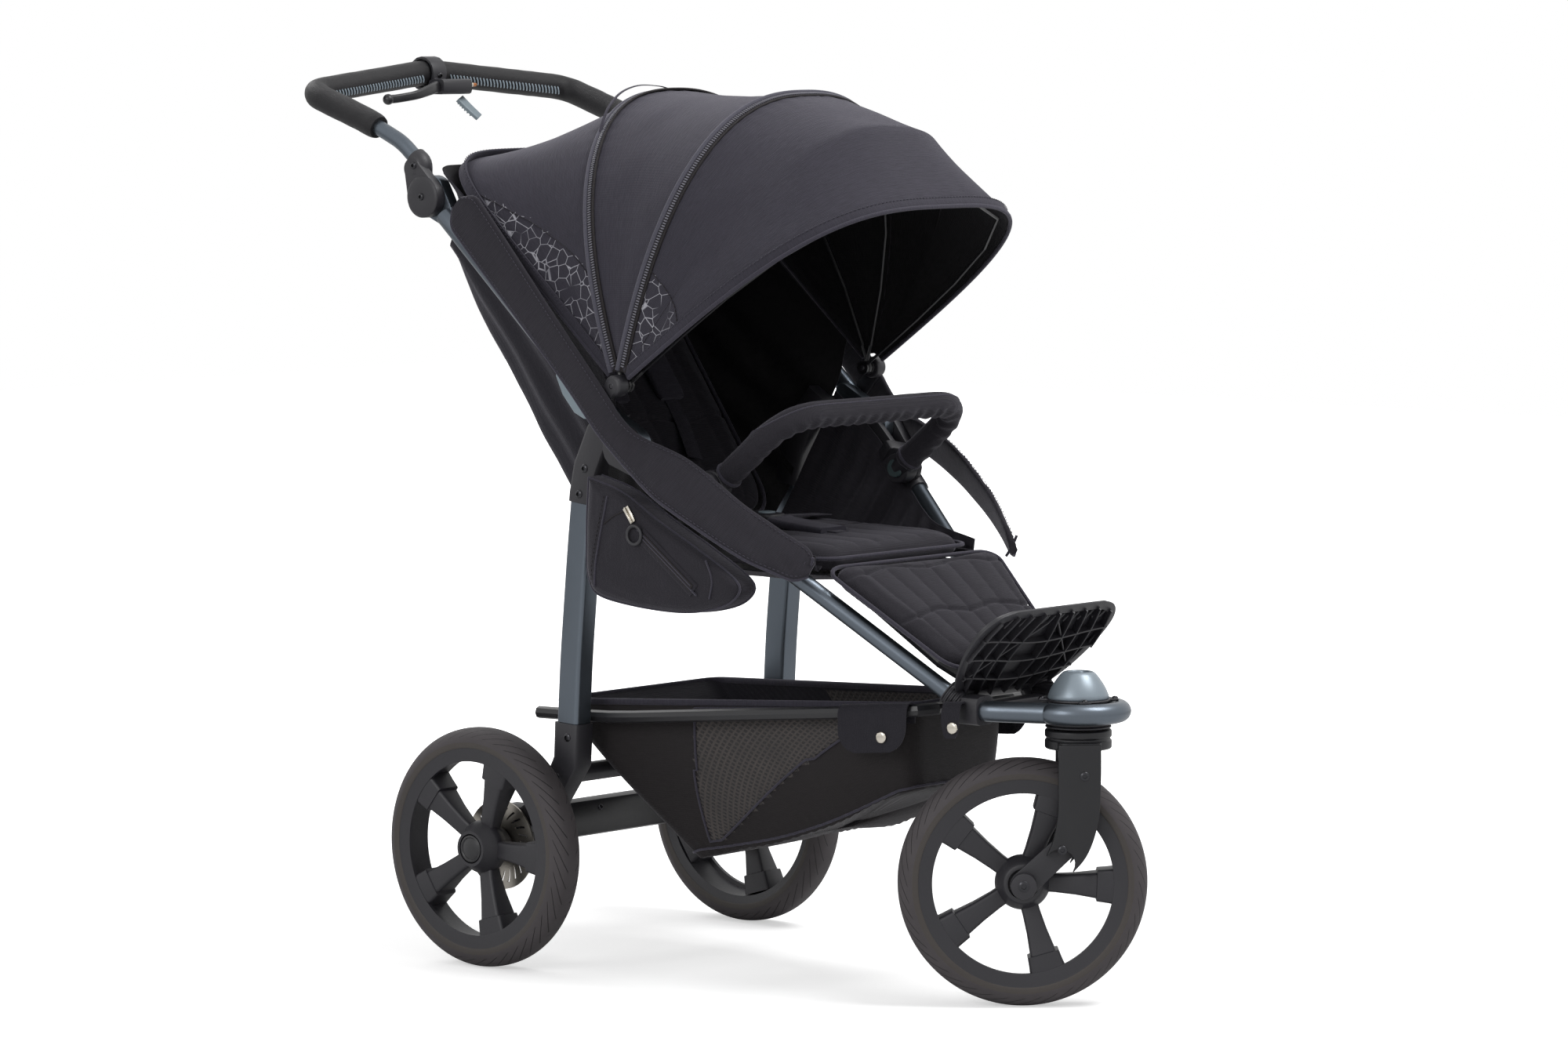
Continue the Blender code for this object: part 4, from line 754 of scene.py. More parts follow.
def tyre_and_rim(name, suffix, centre, axis, outward, body, pocket):
    """A moulded tyre and a rim of five deep tapered spokes."""
    sizes = bpy.context.scene.stroller_sizes
    radius, axis = sizes.tyre_radius, Vector(axis)
    half = [(0.0, 0.0), (0.006, -0.0003), (0.0115, -0.0014), (0.0165, -0.0040), (0.0205, -0.0080)]
    half += [(0.0234, -0.0125), (0.0249, -0.0165), (0.0250, -0.0195), (0.0244, -0.0240), (0.0232, -0.0253)]
    both = half[::-1] + [(-x, r) for x, r in half[1:]]
    section = through([(x, radius + r, 0) for x, r in both], 3)
    bm = lathe([(p.x, p.y) for p in section], centre, axis, 144, looped=False)
    limit = radius - 0.0172
    for face in bm.faces:
        middle = face.calc_center_median() - centre
        if (middle - axis * middle.dot(axis)).length < limit:
            face.material_index = 1
    shown(f"{name}_tyre_moulded{suffix}", bm, ["tyre_tread_rubber", "tyre_sidewall_rubber"], body,
          (f"{name}_tyre{suffix}",))

    barrel = [(0.0225, 0.1118), (0.0229, 0.1130), (0.0229, 0.1268), (0.0236, 0.1292), (0.0205, 0.1300),
              (-0.0205, 0.1300)]
    barrel += [(-0.0236, 0.1292), (-0.0225, 0.1262), (-0.0190, 0.1190), (0.0150, 0.1172), (0.0172, 0.1118)]
    bm = lathe([(x * outward, r) for x, r in barrel], centre, axis, 128)
    top = 0.0265 if pocket else 0.0248
    hub = [(-0.006, 0.0330), (0.0050, 0.0345), (0.0110, 0.0320), (0.0175, 0.0275), (0.0235, 0.0245),
           (top, 0.0228)]
    hub += [(top, 0.0190), (0.0120, 0.0186), (0.0120, 0.0066), (-0.0260, 0.0066), (-0.0268, 0.0225),
            (-0.012, 0.0290)]
    lathe([(x * outward, r) for x, r in hub], centre, axis, 64, bm)
    round_edges(bm, 0.0006, 2, 30)

    up = Vector((0, 0, 1))
    across = up.cross(axis).normalized()
    # radius from the hub, half width, front and back of a spoke
    stations = [(0.026, 0.0112, 0.0085, -0.010), (0.040, 0.0112, 0.0115, -0.010),
                (0.065, 0.0128, 0.0152, -0.012)]
    stations += [(0.0895, 0.0158, 0.0190, -0.015), (0.0905, 0.0160, 0.0192, -0.015),
                 (0.0912, 0.0196, 0.0206, -0.016)]
    stations += [(0.105, 0.0210, 0.0218, -0.017), (0.1160, 0.0226, 0.0222, -0.018)]
    for index in range(SPOKES):
        angle = math.radians(SPOKE_ANGLE + 360 / SPOKES * index)
        out = across * math.cos(angle) + up * math.sin(angle)
        wide = out.cross(axis)
        rings = []
        for reach, width, front, back in stations:
            depth, middle = front - back, (front + back) / 2 * outward
            section = rounded_rectangle(2 * width, depth, min(0.0045, width * 0.4), 3)
            spot = centre + out * reach
            rings.append(ring_of(bm, [spot + wide * u + axis * (middle + v) for u, v in section]))
        capped(bm, rings)
    shown(f"{name}_rim_moulded{suffix}", bm, "moulded_black_nylon", body, (f"{name}_rim{suffix}",))


class STROLLER_OT_rear_wheels(Operator):
    """Makes the two rear wheels with their brake discs and release buttons"""

    bl_idname = "stroller.rear_wheels"
    bl_label = "Rear wheels"

    def execute(self, context):
        for name, side in SIDES:
            centre = at(side * WHEEL_X, 0, AXLE_Z)
            body = f"rear_wheel_{name}"
            tyre_and_rim("rear", f"_{name}", centre, (1, 0, 0), side, body, True)
            slotted_disc(name, side, body)
            dome = [(0.0165, 0.0), (0.0165, 0.0178), (0.0240, 0.0178), (0.0262, 0.0172), (0.0272, 0.0150)]
            dome += [(0.0262, 0.0138), (0.0266, 0.0130), (0.0285, 0.0070), (0.0288, 0.0)]
            bm = lathe([(x * side, r) for x, r in dome], centre, sides=48)
            shown(f"hub_button_{name}_domed", bm, "powder_coated_steel", f"hub_button_{name}",
                  (f"hub_button_{name}",))
        return {"FINISHED"}


def slotted_disc(name, side, body):
    """The brake disc, with slanted vents between its carrier and its rim."""
    bm = bmesh.new()
    columns = 96
    radii = [0.0130, 0.0280, 0.0320, 0.0345, 0.0400, 0.0460, 0.0495, 0.0520, 0.0578]
    rings = []
    for radius in radii:
        swirl = 0.22 * (radius - 0.032) / 0.018
        places = [2 * math.pi * k / columns + swirl for k in range(columns)]
        ring = [(radius * math.cos(a), AXLE_Z + radius * math.sin(a)) for a in places]
        rings.append(ring_of(bm, [at(side * 0.2262, *spot) for spot in ring]))
    faces = skin(bm, rings)
    vents = [f for k, f in enumerate(faces) if 3 <= k // columns <= 5 and k % 4 == 0]
    bmesh.ops.delete(bm, geom=vents, context="FACES_ONLY")
    lined(bm, 0.0022, 0)
    shown(f"brake_disc_{name}_vented", bm, "ground_steel", body, (f"brake_disc_{name}",), smooth=20)


class STROLLER_OT_front_wheel(Operator):
    """Makes the front wheel with its fork, sprung arm and screws"""

    bl_idname = "stroller.front_wheel"
    bl_label = "Front wheel and fork"

    def execute(self, context):
        turn = Matrix.Translation(at(0, HEAD_Y, 0)) @ Matrix.Rotation(math.radians(FORK_TURN), 4, "Z")
        axis = (turn.to_3x3() @ Vector((1, 0, 0))).normalized()
        centre = turn @ Vector((0, FORK_TRAIL, AXLE_Z))
        tyre_and_rim("front", "", centre, axis, -1, "front_wheel", False)

        def turned(a, b, depth):
            return turn @ Vector((depth, a, b))

        self.fork(turn, turned)
        self.arm(turned, axis)
        screws = [(turned(y, z, side * 0.0465), axis * side) for side in (-1, 1)
                  for y, z in ((-0.006, 0.2900), (0.021, 0.1990))]
        add_screws("fork_screws", "fork", screws, 0.0058)
        ends = [(turned(FORK_TRAIL, AXLE_Z, side * 0.0462), axis * side) for side in (-1, 1)]
        add_screws("axle_screws", "fork_arm", ends, 0.0070)
        return {"FINISHED"}

    def fork(self, turn, turned):
        """Crown disc, bridge and two curved blades with soft edges."""
        spots = ((0, 0.3285), (0, 0.285), (0.0015, 0.240), (0.010, 0.205), (0.024, 0.181))
        places = through([(0, *spot) for spot in spots], 6)
        widths = through([(w, 0, 0) for w in (0.026, 0.026, 0.025, 0.023, 0.019)], 6)
        front, rear = [], []
        for k, p in enumerate(places):
            ahead = (places[min(k + 1, len(places) - 1)] - places[max(k - 1, 0)]).normalized()
            square = Vector((0, -ahead.z, ahead.y)) * widths[k].x
            front.append((p.y + square.y, p.z + square.z))
            rear.append((p.y - square.y, p.z - square.z))
        foot = places[-1]
        heading = math.atan2(rear[-1][1] - front[-1][1], rear[-1][0] - front[-1][0])
        turns = [heading + math.pi * k / 10 for k in range(1, 10)]
        cap = [(foot.y - 0.019 * math.cos(a), foot.z - 0.019 * math.sin(a)) for a in turns]
        bm = bmesh.new()
        for side in (-1, 1):
            low, high = sorted(side * edge for edge in BLADE_SPAN)
            extrude(front + cap + rear[::-1], low, high, turned, bm)
        extrude(rounded_rectangle(0.054, 0.088, 0.012), 0.3195, 0.3300, lambda a, b,
                d: turn @ Vector((b, a, d)), bm)
        crown = [(0.3197, 0.0), (0.3197, 0.0400), (0.3215, 0.0413), (0.3300, 0.0413), (0.3315, 0.0396)]
        crown += [(0.3335, 0.0396), (0.3350, 0.0413), (0.3420, 0.0413), (0.3436, 0.0398), (0.3436, 0.0)]
        lathe(crown, at(0, HEAD_Y, 0), (0, 0, 1), 64, bm)
        shown("fork_cast", bm, "satin_painted_aluminium", "fork", ("fork",), 0.0022, 3)

    def arm(self, turned, axis):
        """The sprung arm: a flat link inside each blade, a boss and the axle."""
        pivot = (0.020, 0.1985)
        hub = (FORK_TRAIL, AXLE_Z)
        bm = bmesh.new()
        for side in (-1, 1):
            low, high = sorted((side * 0.0276, side * 0.0326))
            extrude(bar_outline(pivot, hub, 0.0155, 0.0165), low, high, turned, bm)
            low, high = sorted((side * 0.032, side * 0.0462))
            extrude([(hub[0] + a, hub[1] + b) for a, b in circle(0.0160, 36)], low, high, turned, bm)
        shaft(bm, -0.046, 0.046, 0.006, turned(*hub, 0), axis)
        shown("fork_arm_moulded", bm, "moulded_black_nylon", "fork_arm", ("fork_arm",), 0.0010)


# Frame


def side_line(side):
    """The lower tube's line from the hinge to the front junction."""
    top = Vector((side * SIDE_X, *HINGE))
    foot = Vector((side * FRONT_JUNCTION[0], *FRONT_JUNCTION[1:]))
    return top, foot, (foot - top).normalized()


def ribbed_collar(bm, start, end, radius, ribs):
    """A short rubber sleeve with raised ribs."""
    points, scales = [], []
    for k in range(ribs * 4 + 1):
        points.append(start.lerp(end, k / (ribs * 4)))
        scales.append(1.0 if k % 4 < 2 else 0.90)
    sweep(points, circle(radius, 28), scales=scales, bm=bm)


class STROLLER_OT_lower_frame(Operator):
    """Makes the lower side tubes, the front loop and the steering head"""

    bl_idname = "stroller.lower_frame"
    bl_label = "Lower frame and steering head"

    def execute(self, context):
        for name, side in SIDES:
            top, foot, along = side_line(side)
            line = [at(*(top + along * (NECK + 0.0164))), at(*(foot - along * 0.0224))]
            shown(f"lower_tube_{name}_drawn", sweep(evenly(line, 12), circle(SIDE_TUBE)), "anodised_aluminium",
                  "lower_frame", (f"lower_tube_{name}",))
            for node, edges in (("hinge_housing", 0.0012), ("bumper_socket", 0.0008)):
                node = f"{node}_{name}"
                refined(node, f"{node}_moulded", "moulded_black_nylon", edges)
        pins = [(at(side * 0.2615, *HINGE), (side, 0, 0)) for _, side in SIDES]
        add_screws("hinge_screws", "lower_frame", pins, 0.0060)
        self.front_loop()
        self.headset()
        return {"FINISHED"}

    def front_loop(self):
        """The loop of tube round the steering head, the front junction and its ribbed collars."""
        x, y, z = FRONT_JUNCTION
        leg = [(x, y - 0.024), (x, y - 0.036), (LOOP_RADIUS, HEAD_Y + 0.012)]
        bend = []
        for k in range(13):
            a = math.radians(180 + 180 * k / 12)
            bend.append(at(LOOP_RADIUS * math.cos(a), HEAD_Y + LOOP_RADIUS * math.sin(a), LOOP_Z))
        near, far = ([at(turn * a, b, LOOP_Z) for a, b in leg] for turn in (-1, 1))
        arc = through(near + bend + far[::-1], 4)
        shown("front_loop_bent", sweep(arc, circle(LOOP_TUBE), (0, 0, 1)), "anodised_aluminium", "lower_frame",
              ("front_loop",))
        refined("front_junction", "front_junction_moulded", "moulded_black_nylon", 0.0015, 3)
        bm = bmesh.new()
        for _, side in SIDES:
            _, foot, along = side_line(side)
            ribbed_collar(bm, at(side * x, y - 0.0235, z), at(side * x, y + 0.002, z), 0.0172, 4)
            ribbed_collar(bm, at(*(foot - along * 0.036)), at(*(foot - along * 0.014)), 0.0158, 4)
        shown("junction_collars", bm, "moulded_black_nylon", "lower_frame")

    def headset(self):
        """The steering head: a stack of rings with four screwed lugs, and the painted cone on top."""
        inside = LOOP_RADIUS - LOOP_TUBE - 0.0016
        stack = [(0.3452, 0.0), (0.3452, 0.0385), (0.3462, 0.0408), (0.3478, 0.0408), (0.3486, 0.0385),
                 (0.3496, 0.0385)]
        stack += [(0.3504, 0.0414), (0.3524, 0.0414), (0.3532, inside), (0.3560, inside),
                  (0.3600, inside - 0.001)]
        stack += [(0.3780, inside - 0.001), (0.3790, inside - 0.003), (0.3790, 0.0400), (0.3810, 0.0392),
                  (0.3795, 0.0)]
        bm = lathe(stack, at(0, HEAD_Y, 0), (0, 0, 1), 72)
        # Four lugs reach over the loop's tube and take the screws.
        screws = []
        for degrees in LUG_ANGLES:
            a = math.radians(degrees)
            out = Vector((math.cos(a), math.sin(a), 0))
            line = [at(0, HEAD_Y, 0.3790) + out * 0.034, at(0, HEAD_Y, 0.3802) + out * 0.049]
            sweep(line, rounded_rectangle(0.015, 0.0030, 0.0013), (-out.y, out.x, 0), bm=bm)
            screws.append((at(0, HEAD_Y, 0.3814) + out * 0.045, (0, 0, 1)))
        shown("headset_plate_moulded", bm, "moulded_black_nylon", "lower_frame", ("headset_plate",),
              0.0005)
        add_screws("headset_screws", "lower_frame", screws, 0.0038)
        # (height over the base, radius), up to the sunk top
        cone = [(0, 0), (0, 0.0350), (0.0012, 0.0372), (0.0030, 0.0380), (0.0075, 0.0366), (0.0140, 0.0338)]
        cone += [(0.0205, 0.0300), (0.0265, 0.0258), (0.0310, 0.0222), (0.0338, 0.0190), (0.0345, 0.0172)]
        cone += [(0.0345, 0.0132), (0.0335, 0.0124), (0.0300, 0.0120), (0.0296, 0)]
        bm = lathe(cone, at(0, HEAD_Y, CONE_BASE), (0, 0, 1), 96)
        shown("headset_cone_painted", bm, "satin_painted_cone", "lower_frame", ("headset_cone",))


class STROLLER_OT_upper_frame(Operator):
    """Makes the upper side tubes with their joint discs, knobs and release levers"""

    bl_idname = "stroller.upper_frame"
    bl_label = "Upper frame"

    def execute(self, context):
        slope = math.degrees(math.atan2(HANDLE_JOINT[1] - HINGE[1], HANDLE_JOINT[0] - HINGE[0]))
        for name, side in SIDES:
            low, high = polar(HINGE, NECK, slope), polar(HANDLE_JOINT, 0.034, slope + 180)
            bm = sweep(evenly([at(side * SIDE_X, *low), at(side * SIDE_X, *high)], 12), circle(UPPER_TUBE))
            for centre, reach, turn in ((HINGE, 0.064, slope), (HANDLE_JOINT, 0.046, slope + 180)):
                outline = bar_outline(polar(centre, reach, turn), centre, 0.0115, JOINT_DISC)
                side_plate(outline, side, 0.2281, 0.2449, bm)
            shown(f"upper_tube_{name}_drawn", bm, "anodised_aluminium", "upper_frame", (f"upper_tube_{name}",),
                  0.0012)
            lever = f"release_lever_{name}"
            refined(lever, f"{lever}_moulded", "moulded_grey_nylon", 0.0022, 3)
            self.knob(name, side, slope)
        return {"FINISHED"}

    def knob(self, name, side, slope):
        """The canopy's knob: a domed boss with a sunk screw, on an arm from the tube."""
        profile = [(0.2425, 0.0), (0.2425, 0.0128), (0.2440, 0.0139), (0.2560, 0.0139), (0.2592, 0.0128),
                   (0.2611, 0.0100)]
        profile += [(0.2613, 0.0072), (0.2590, 0.0066), (0.2590, 0.0)]
        pivot = at(0, *CANOPY_PIVOT)
        bm = lathe([(x * side, r) for x, r in profile], pivot, sides=48)
        shaft(bm, 0.2240 * side, 0.2430 * side, 0.0039, pivot)
        arm = bar_outline(CANOPY_PIVOT, polar(CANOPY_PIVOT, 0.046, slope - 90), 0.009, 0.011)
        side_plate(arm, side, 0.2576, 0.2613, bm)
        shown(f"canopy_knob_{name}_moulded", bm, "moulded_black_nylon", "upper_frame", (f"canopy_knob_{name}",),
              0.0007)
        add_screws(f"canopy_screw_{name}", "upper_frame", [(at(side * 0.2592, *CANOPY_PIVOT), (side, 0, 0))])


class STROLLER_OT_rear_legs(Operator):
    """Makes the rear legs, their brackets, the carriage and the axle beam"""

    bl_idname = "stroller.rear_legs"
    bl_label = "Rear legs and axle"

    def execute(self, context):
        screws = []
        for name, side in SIDES:
            places = ((-0.1290, 0.600), (-0.1225, 0.540), (-0.1160, 0.470), (-0.1095, 0.395), (-0.1050, 0.318))
            line = through([at(side * LEG_X, y, z) for y, z in places], 6)
            shown(f"rear_leg_{name}_extruded", sweep(line, rounded_rectangle(0.030, 0.035, 0.0055, 5)),
                  "anodised_aluminium",
                  "rear_legs", (f"rear_leg_{name}",))
            refined(f"leg_bracket_{name}", f"leg_bracket_{name}_moulded", "moulded_black_nylon", 0.0016,
                    3)
            for x, y, z in ((0.2168, -0.1300, 0.612), (0.2168, -0.1395, 0.645), (0.2172, -0.1090, 0.3000),
                            (0.2150, -0.0890, 0.2480)):
                screws.append((at(side * x, y, z), (side, 0, 0)))
        refined("rear_carriage", "rear_carriage_moulded", "moulded_black_nylon", 0.0016, 3)
        refined("rear_axle_beam", "rear_axle_beam_coated", "powder_coated_steel", 0.0012)
        add_screws("leg_screws", "rear_legs", screws, 0.0054)
        rivets = [(at(x, -0.0130, BEAM_Z + 0.012), (0, -1, 0)) for x in (-0.15, -0.05, 0.05, 0.15)]
        add_screws("beam_rivets", "rear_legs", rivets, 0.0040)
        return {"FINISHED"}


# Handle


def handle_route():
    """The bar's middle line: up from a socket, round the corner and along to the kink, and back down."""
    stem = ((0.1270, 1.0330), (0.1500, 1.0520), (0.2090, 1.0780), (0.3180, 1.1145))
    corners = [(-SIDE_X, *p) for p in stem] + [HANDLE_KINK] + [(SIDE_X, *p) for p in stem[::-1]]
    return rounded_path([at(*p) for p in corners], 0.030, 10)


class STROLLER_OT_handle(Operator):
    """Makes the handle bar with its laced cover, sockets, brake lever and parking lock"""

    bl_idname = "stroller.handle"
    bl_label = "Handle"

    def execute(self, context):
        route = handle_route()
        shown("handle_tube_bent", sweep(route, circle(HANDLE_TUBE)), "anodised_aluminium", "handle",
              ("handle_tube",))
        begin = next(k for k, p in enumerate(route) if p.y > at(0, GRIP_START_Y, 0).y)
        grip = evenly(route[begin : len(route) - begin], 180)
        self.cover(grip)
        for name, side in SIDES:
            self.socket(name, side)
        self.brake()
        return {"FINISHED"}

    def cover(self, grip):
        """The padded sleeve: soft dents along it and rolled ends."""
        bm = bmesh.new()
        frames = path_frames(grip, (0, 0, 1))
        rings = []
        for k, (point, (_, across, up)) in enumerate(zip(grip, frames)):
            edge = min(k, len(grip) - 1 - k)
            radius = GRIP_RADIUS if edge > 1 else (0.0150, 0.0163)[edge]
            found = []
            for u, v in circle(1.0, 40):
                place = point + (across * u + up * v) * radius
                dent = noise.noise(place * 60) * 0.0004
                found.append(bm.verts.new(place + (across * u + up * v) * dent))
            rings.append(found)
        capped(bm, rings)
        shown("handle_grip_covered", bm, "embossed_leatherette", "handle", ("handle_grip",))
        self.lacing(grip, frames)

    def lacing(self, grip, frames):
        """Slanted loops of thread over the cover's seam, on the side that looks forward and down."""
        pitch = bpy.context.scene.stroller_sizes.lacing_pitch
        bm = bmesh.new()
        count = int(length_of(grip) / pitch)
        for k in range(count):
            spot = (k + 0.5) / count * (len(grip) - 1)
            index = int(spot)
            point = grip[index].lerp(grip[index + 1], spot - index)
            along = frames[index][0]
            if not LACED_SPAN[0] <= abs(point.x) <= LACED_SPAN[1]:
                continue
            down = Vector((0, -0.93, -0.36))
            down = (down - along * down.dot(along)).normalized()
            beside = along.cross(down)
            loop = []
            for step in range(7):
                t = step / 6 * 2 - 1
                out = down * math.cos(0.30 * t) + beside * math.sin(0.30 * t)
                loop.append(point + out * (GRIP_RADIUS + 0.0001 + 0.0007 * (1 - t * t)) + along * (0.0030 * t))
            sweep(loop, circle(0.00105, 6), along, bm=bm)
        shown("handle_lacing", bm, "spun_thread", "handle")

    def socket(self, name, side):
        """The moulded socket that holds the bar's end, with a domed joint disc and its screws."""
        disc = HANDLE_JOINT
        places = (polar(disc, 0.0315, STEM_ANGLE), (0.1178, 1.0254), (0.1267, 1.0327))
        bm = sweep(through([at(side * SIDE_X, *p) for p in places], 5), circle(0.0145, 32))
        plate = bar_outline(polar(disc, 0.040, STEM_ANGLE), disc, 0.0135, JOINT_DISC, 24)
        side_plate(plate, side, 0.2457, 0.2590, bm)
        dome = [(0.2585, 0.0), (0.2585, 0.0270), (0.2600, 0.0258), (0.2610, 0.0225), (0.2614, 0.0150)]
        dome += [(0.2615, 0.0060), (0.2605, 0.0)]
        lathe([(x * side, r) for x, r in dome], at(0, *disc), sides=56, bm=bm)
        shaft(bm, 0.2300 * side, 0.2480 * side, 0.006, at(0, *disc))
        shown(f"handle_socket_{name}_moulded", bm, "moulded_black_nylon", "handle", (f"handle_socket_{name}",),
              0.0011)
        spots = [(at(side * 0.2612, *disc), (side, 0, 0)), (at(side * 0.2590, 0.1170, 1.0235), (side, 0, 0))]
        add_screws(f"handle_screws_{name}", "handle", spots, 0.0046)

    def brake(self):
        """The brake lever, the parking lock and the cable's adjuster, placed from the bar's kink."""
        kink = at(*HANDLE_KINK)

        def near(x, y, z):
            return kink + Vector((x, y, z))

        refined("brake_bracket", "brake_bracket_moulded", "moulded_black_nylon", 0.0012, 3)
        screws = [(near(0.0, -0.0235, -0.0040), (0, -0.9, -0.25)), (near(0.006, -0.0455, -0.0150), (0, -1, 0))]
        add_screws("brake_screws", "handle", screws, 0.0040)

        spots = ((-0.0240, -0.040, -0.019), (-0.045, -0.0485, -0.0225), (-0.075, -0.052, -0.0290),
                 (-0.104, -0.048, -0.033), (-0.118, -0.046, -0.034))
        line = through([near(*spot) for spot in spots], 8)
        widths = [1.25 - 0.35 * ease(k / (len(line) - 1) * 1.6) for k in range(len(line))]
        bm = sweep(line, rounded_rectangle(0.0075, 0.0125, 0.0030), (0, 1, 0), widths)
        bmesh.ops.create_uvsphere(bm, u_segments=24, v_segments=16, radius=0.0072,
                                  matrix=Matrix.Translation(near(-0.1215, -0.0458, -0.0342)))
        shown("brake_lever_forged", bm, "powder_coated_steel", "brake_lever", ("brake_lever",),
              0.0008)

        spots = ((0.024, -0.036, -0.0350), (0.0310, -0.045, -0.0465), (0.0405, -0.0565, -0.0605))
        clip = through([near(*spot) for spot in spots], 8)
        bm = sweep(clip, rounded_rectangle(0.0160, 0.0058, 0.0020),
                   scales=[1.0 - 0.12 * k / 16 for k in range(len(clip))])
        along, across, up = path_frames(clip, (1, 0, 0))[8]
        for k in range(6):
            spot = clip[2 + 2 * k] - up * 0.0032
            sweep([spot - across * 0.0066, spot + across * 0.0066], circle(0.0011, 8), along, bm=bm)
        shown("parking_lock_moulded", bm, "moulded_grey_nylon", "parking_lock", ("parking_lock",),
              0.0008)

        bm = bmesh.new()
        plug = [(0.0, 0.0), (0.0, 0.0052), (0.005, 0.0056), (0.008, 0.0044), (0.012, 0.0044), (0.0125, 0.0030)]
        plug += [(0.016, 0.0026), (0.016, 0.0)]
        lathe(plug, near(0.0345, -0.0350, -0.0170), sides=24, bm=bm)
        shown("cable_adjuster", bm, "nickel_plated_brass", "handle")
        tip = [(0.0, 0.0), (0.0, 0.0026), (0.006, 0.0024), (0.0075, 0.0014), (0.0075, 0.0)]
        bm = lathe(tip, near(0.0505, -0.0350, -0.0170), sides=20)
        shown("cable_ferrule", bm, "bare_copper", "handle")


# Soft goods


def lined(bm, thickness, slot=1, inside=None, net=None):
    """Gives a sheet its other side, this far behind it, and closes its edges. A net shows on both sides."""
    bm.normal_update()
    faces, rim = list(bm.faces), [e for e in bm.edges if e.is_boundary]
    if inside and sum(f.normal.dot(f.calc_center_median() - inside) for f in faces) < 0:
        bmesh.ops.reverse_faces(bm, faces=faces)
        bm.normal_update()
    uv = bm.loops.layers.uv.verify()
    behind = {v: bm.verts.new(v.co - v.normal * thickness) for v in list(bm.verts)}
    for face in faces:
        back = bm.faces.new([behind[v] for v in reversed(face.verts)])
        back.material_index = net if net is not None and face.material_index == net else slot
        places = {behind[loop.vert]: loop[uv].uv.copy() for loop in face.loops}
        for loop in back.loops:
            loop[uv].uv = places[loop.vert]
    for edge in rim:
        loop = edge.link_loops[0]
        a, b = loop.vert, loop.link_loop_next.vert
        side = bm.faces.new((b, a, behind[a], behind[b]))
        side.material_index = edge.link_faces[0].material_index
        for corner in side.loops:
            corner[uv].uv = loop[uv].uv
    return bm


def cloth_mesh(rows, thickness=0.0018, inside=None, slot_of=None, closed=False, net=None):
    """A sheet of cloth over rows of points, with its lining behind it."""
    bm = bmesh.new()
    faces = skin(bm, [ring_of(bm, row) for row in rows], closed=closed)
    wide = len(rows[0]) - (0 if closed else 1)
    if slot_of:
        for k, face in enumerate(faces):
            face.material_index = slot_of((k // wide + 0.5) / (len(rows) - 1), (k % wide + 0.5) / wide)
    return lined(bm, thickness, inside=inside, net=net)


def moved_out(rows, depth, inside):
    """The rows of points moved square to their surface, away from inside, by depth(s, c, point)."""
    last, wide = len(rows) - 1, len(rows[0]) - 1
    moved = []
    for j, row in enumerate(rows):
        found = []
        for k, point in enumerate(row):
            across = row[min(k + 1, wide)] - row[max(k - 1, 0)]
            down = rows[min(j + 1, last)][k] - rows[max(j - 1, 0)][k]
            out = across.cross(down)
            out = out.normalized() if out.length > 1e-9 else Vector((0, 0, 1))
            if out.dot(point - inside) < 0:
                out = -out
            found.append(point + out * depth(j / last, k / wide, point))
        moved.append(found)
    return moved


def area_of(rows):
    total = 0.0
    for a, b in zip(rows, rows[1:]):
        for p, q, r, s in zip(a, a[1:], b[1:], b):
            total += ((q - p).cross(r - p).length + (r - p).cross(s - p).length) / 2
    return total


def declare_sheet(rows):
    """Works out the area of cloth cut to the size of these rows, and keeps nothing of it."""
    width = max(length_of(row) for row in rows)
    length = max(length_of(list(column)) for column in zip(*rows))
    min(area_of(rows), width * length)


def stitch_row(bm, points, out, pitch=0.0056, slot=0):
    """A row of thread stitches, each bowed a little out of the cloth."""
    count = max(2, round(length_of(points) / pitch))
    spots = evenly(points, count * 2)
    for k in range(count):
        a, b = spots[2 * k], spots[2 * k + 1]
        square = out(a) if callable(out) else Vector(out)
        sweep([a, (a + b) / 2 + square * 0.0006, b], circle(0.00050, 5), square.cross(b - a), bm=bm, slot=slot)


def arch(shape, steps, foot=0.019):
    """The points of one canopy arch, from the right knob over the top to the left one."""
    angle, reach, power = shape
    points = []
    for k in range(ARCH_STEPS + 1):
        t = math.pi * k / ARCH_STEPS
        radius = max(foot, reach * math.sin(t) ** (2 / power))
        rise = min(1.0, radius / reach)
        x = -math.copysign(CANOPY_HALF_WIDTH * (1 - rise**power) ** (1 / power), math.cos(t))
        points.append(at(x, *polar(CANOPY_PIVOT, radius, angle)))
    return evenly(points, steps)


def across_arch(shape):
    """The direction square to an arch's plane."""
    a = math.radians(shape[0])
    return Vector((0, -math.sin(a), math.cos(a)))


def panel_rows(shapes, steps, columns=150):
    """Rows of points from one arch to the next."""
    arches = [arch(shape, columns) for shape in shapes]
    rows = []
    for a, b, count in zip(arches, arches[1:], steps):
        rows += [[p.lerp(q, k / count) for p, q in zip(a, b)] for k in range(count)]
    return rows + [arches[-1]]


def beside(shape, degrees):
    return (shape[0] + degrees, *shape[1:])


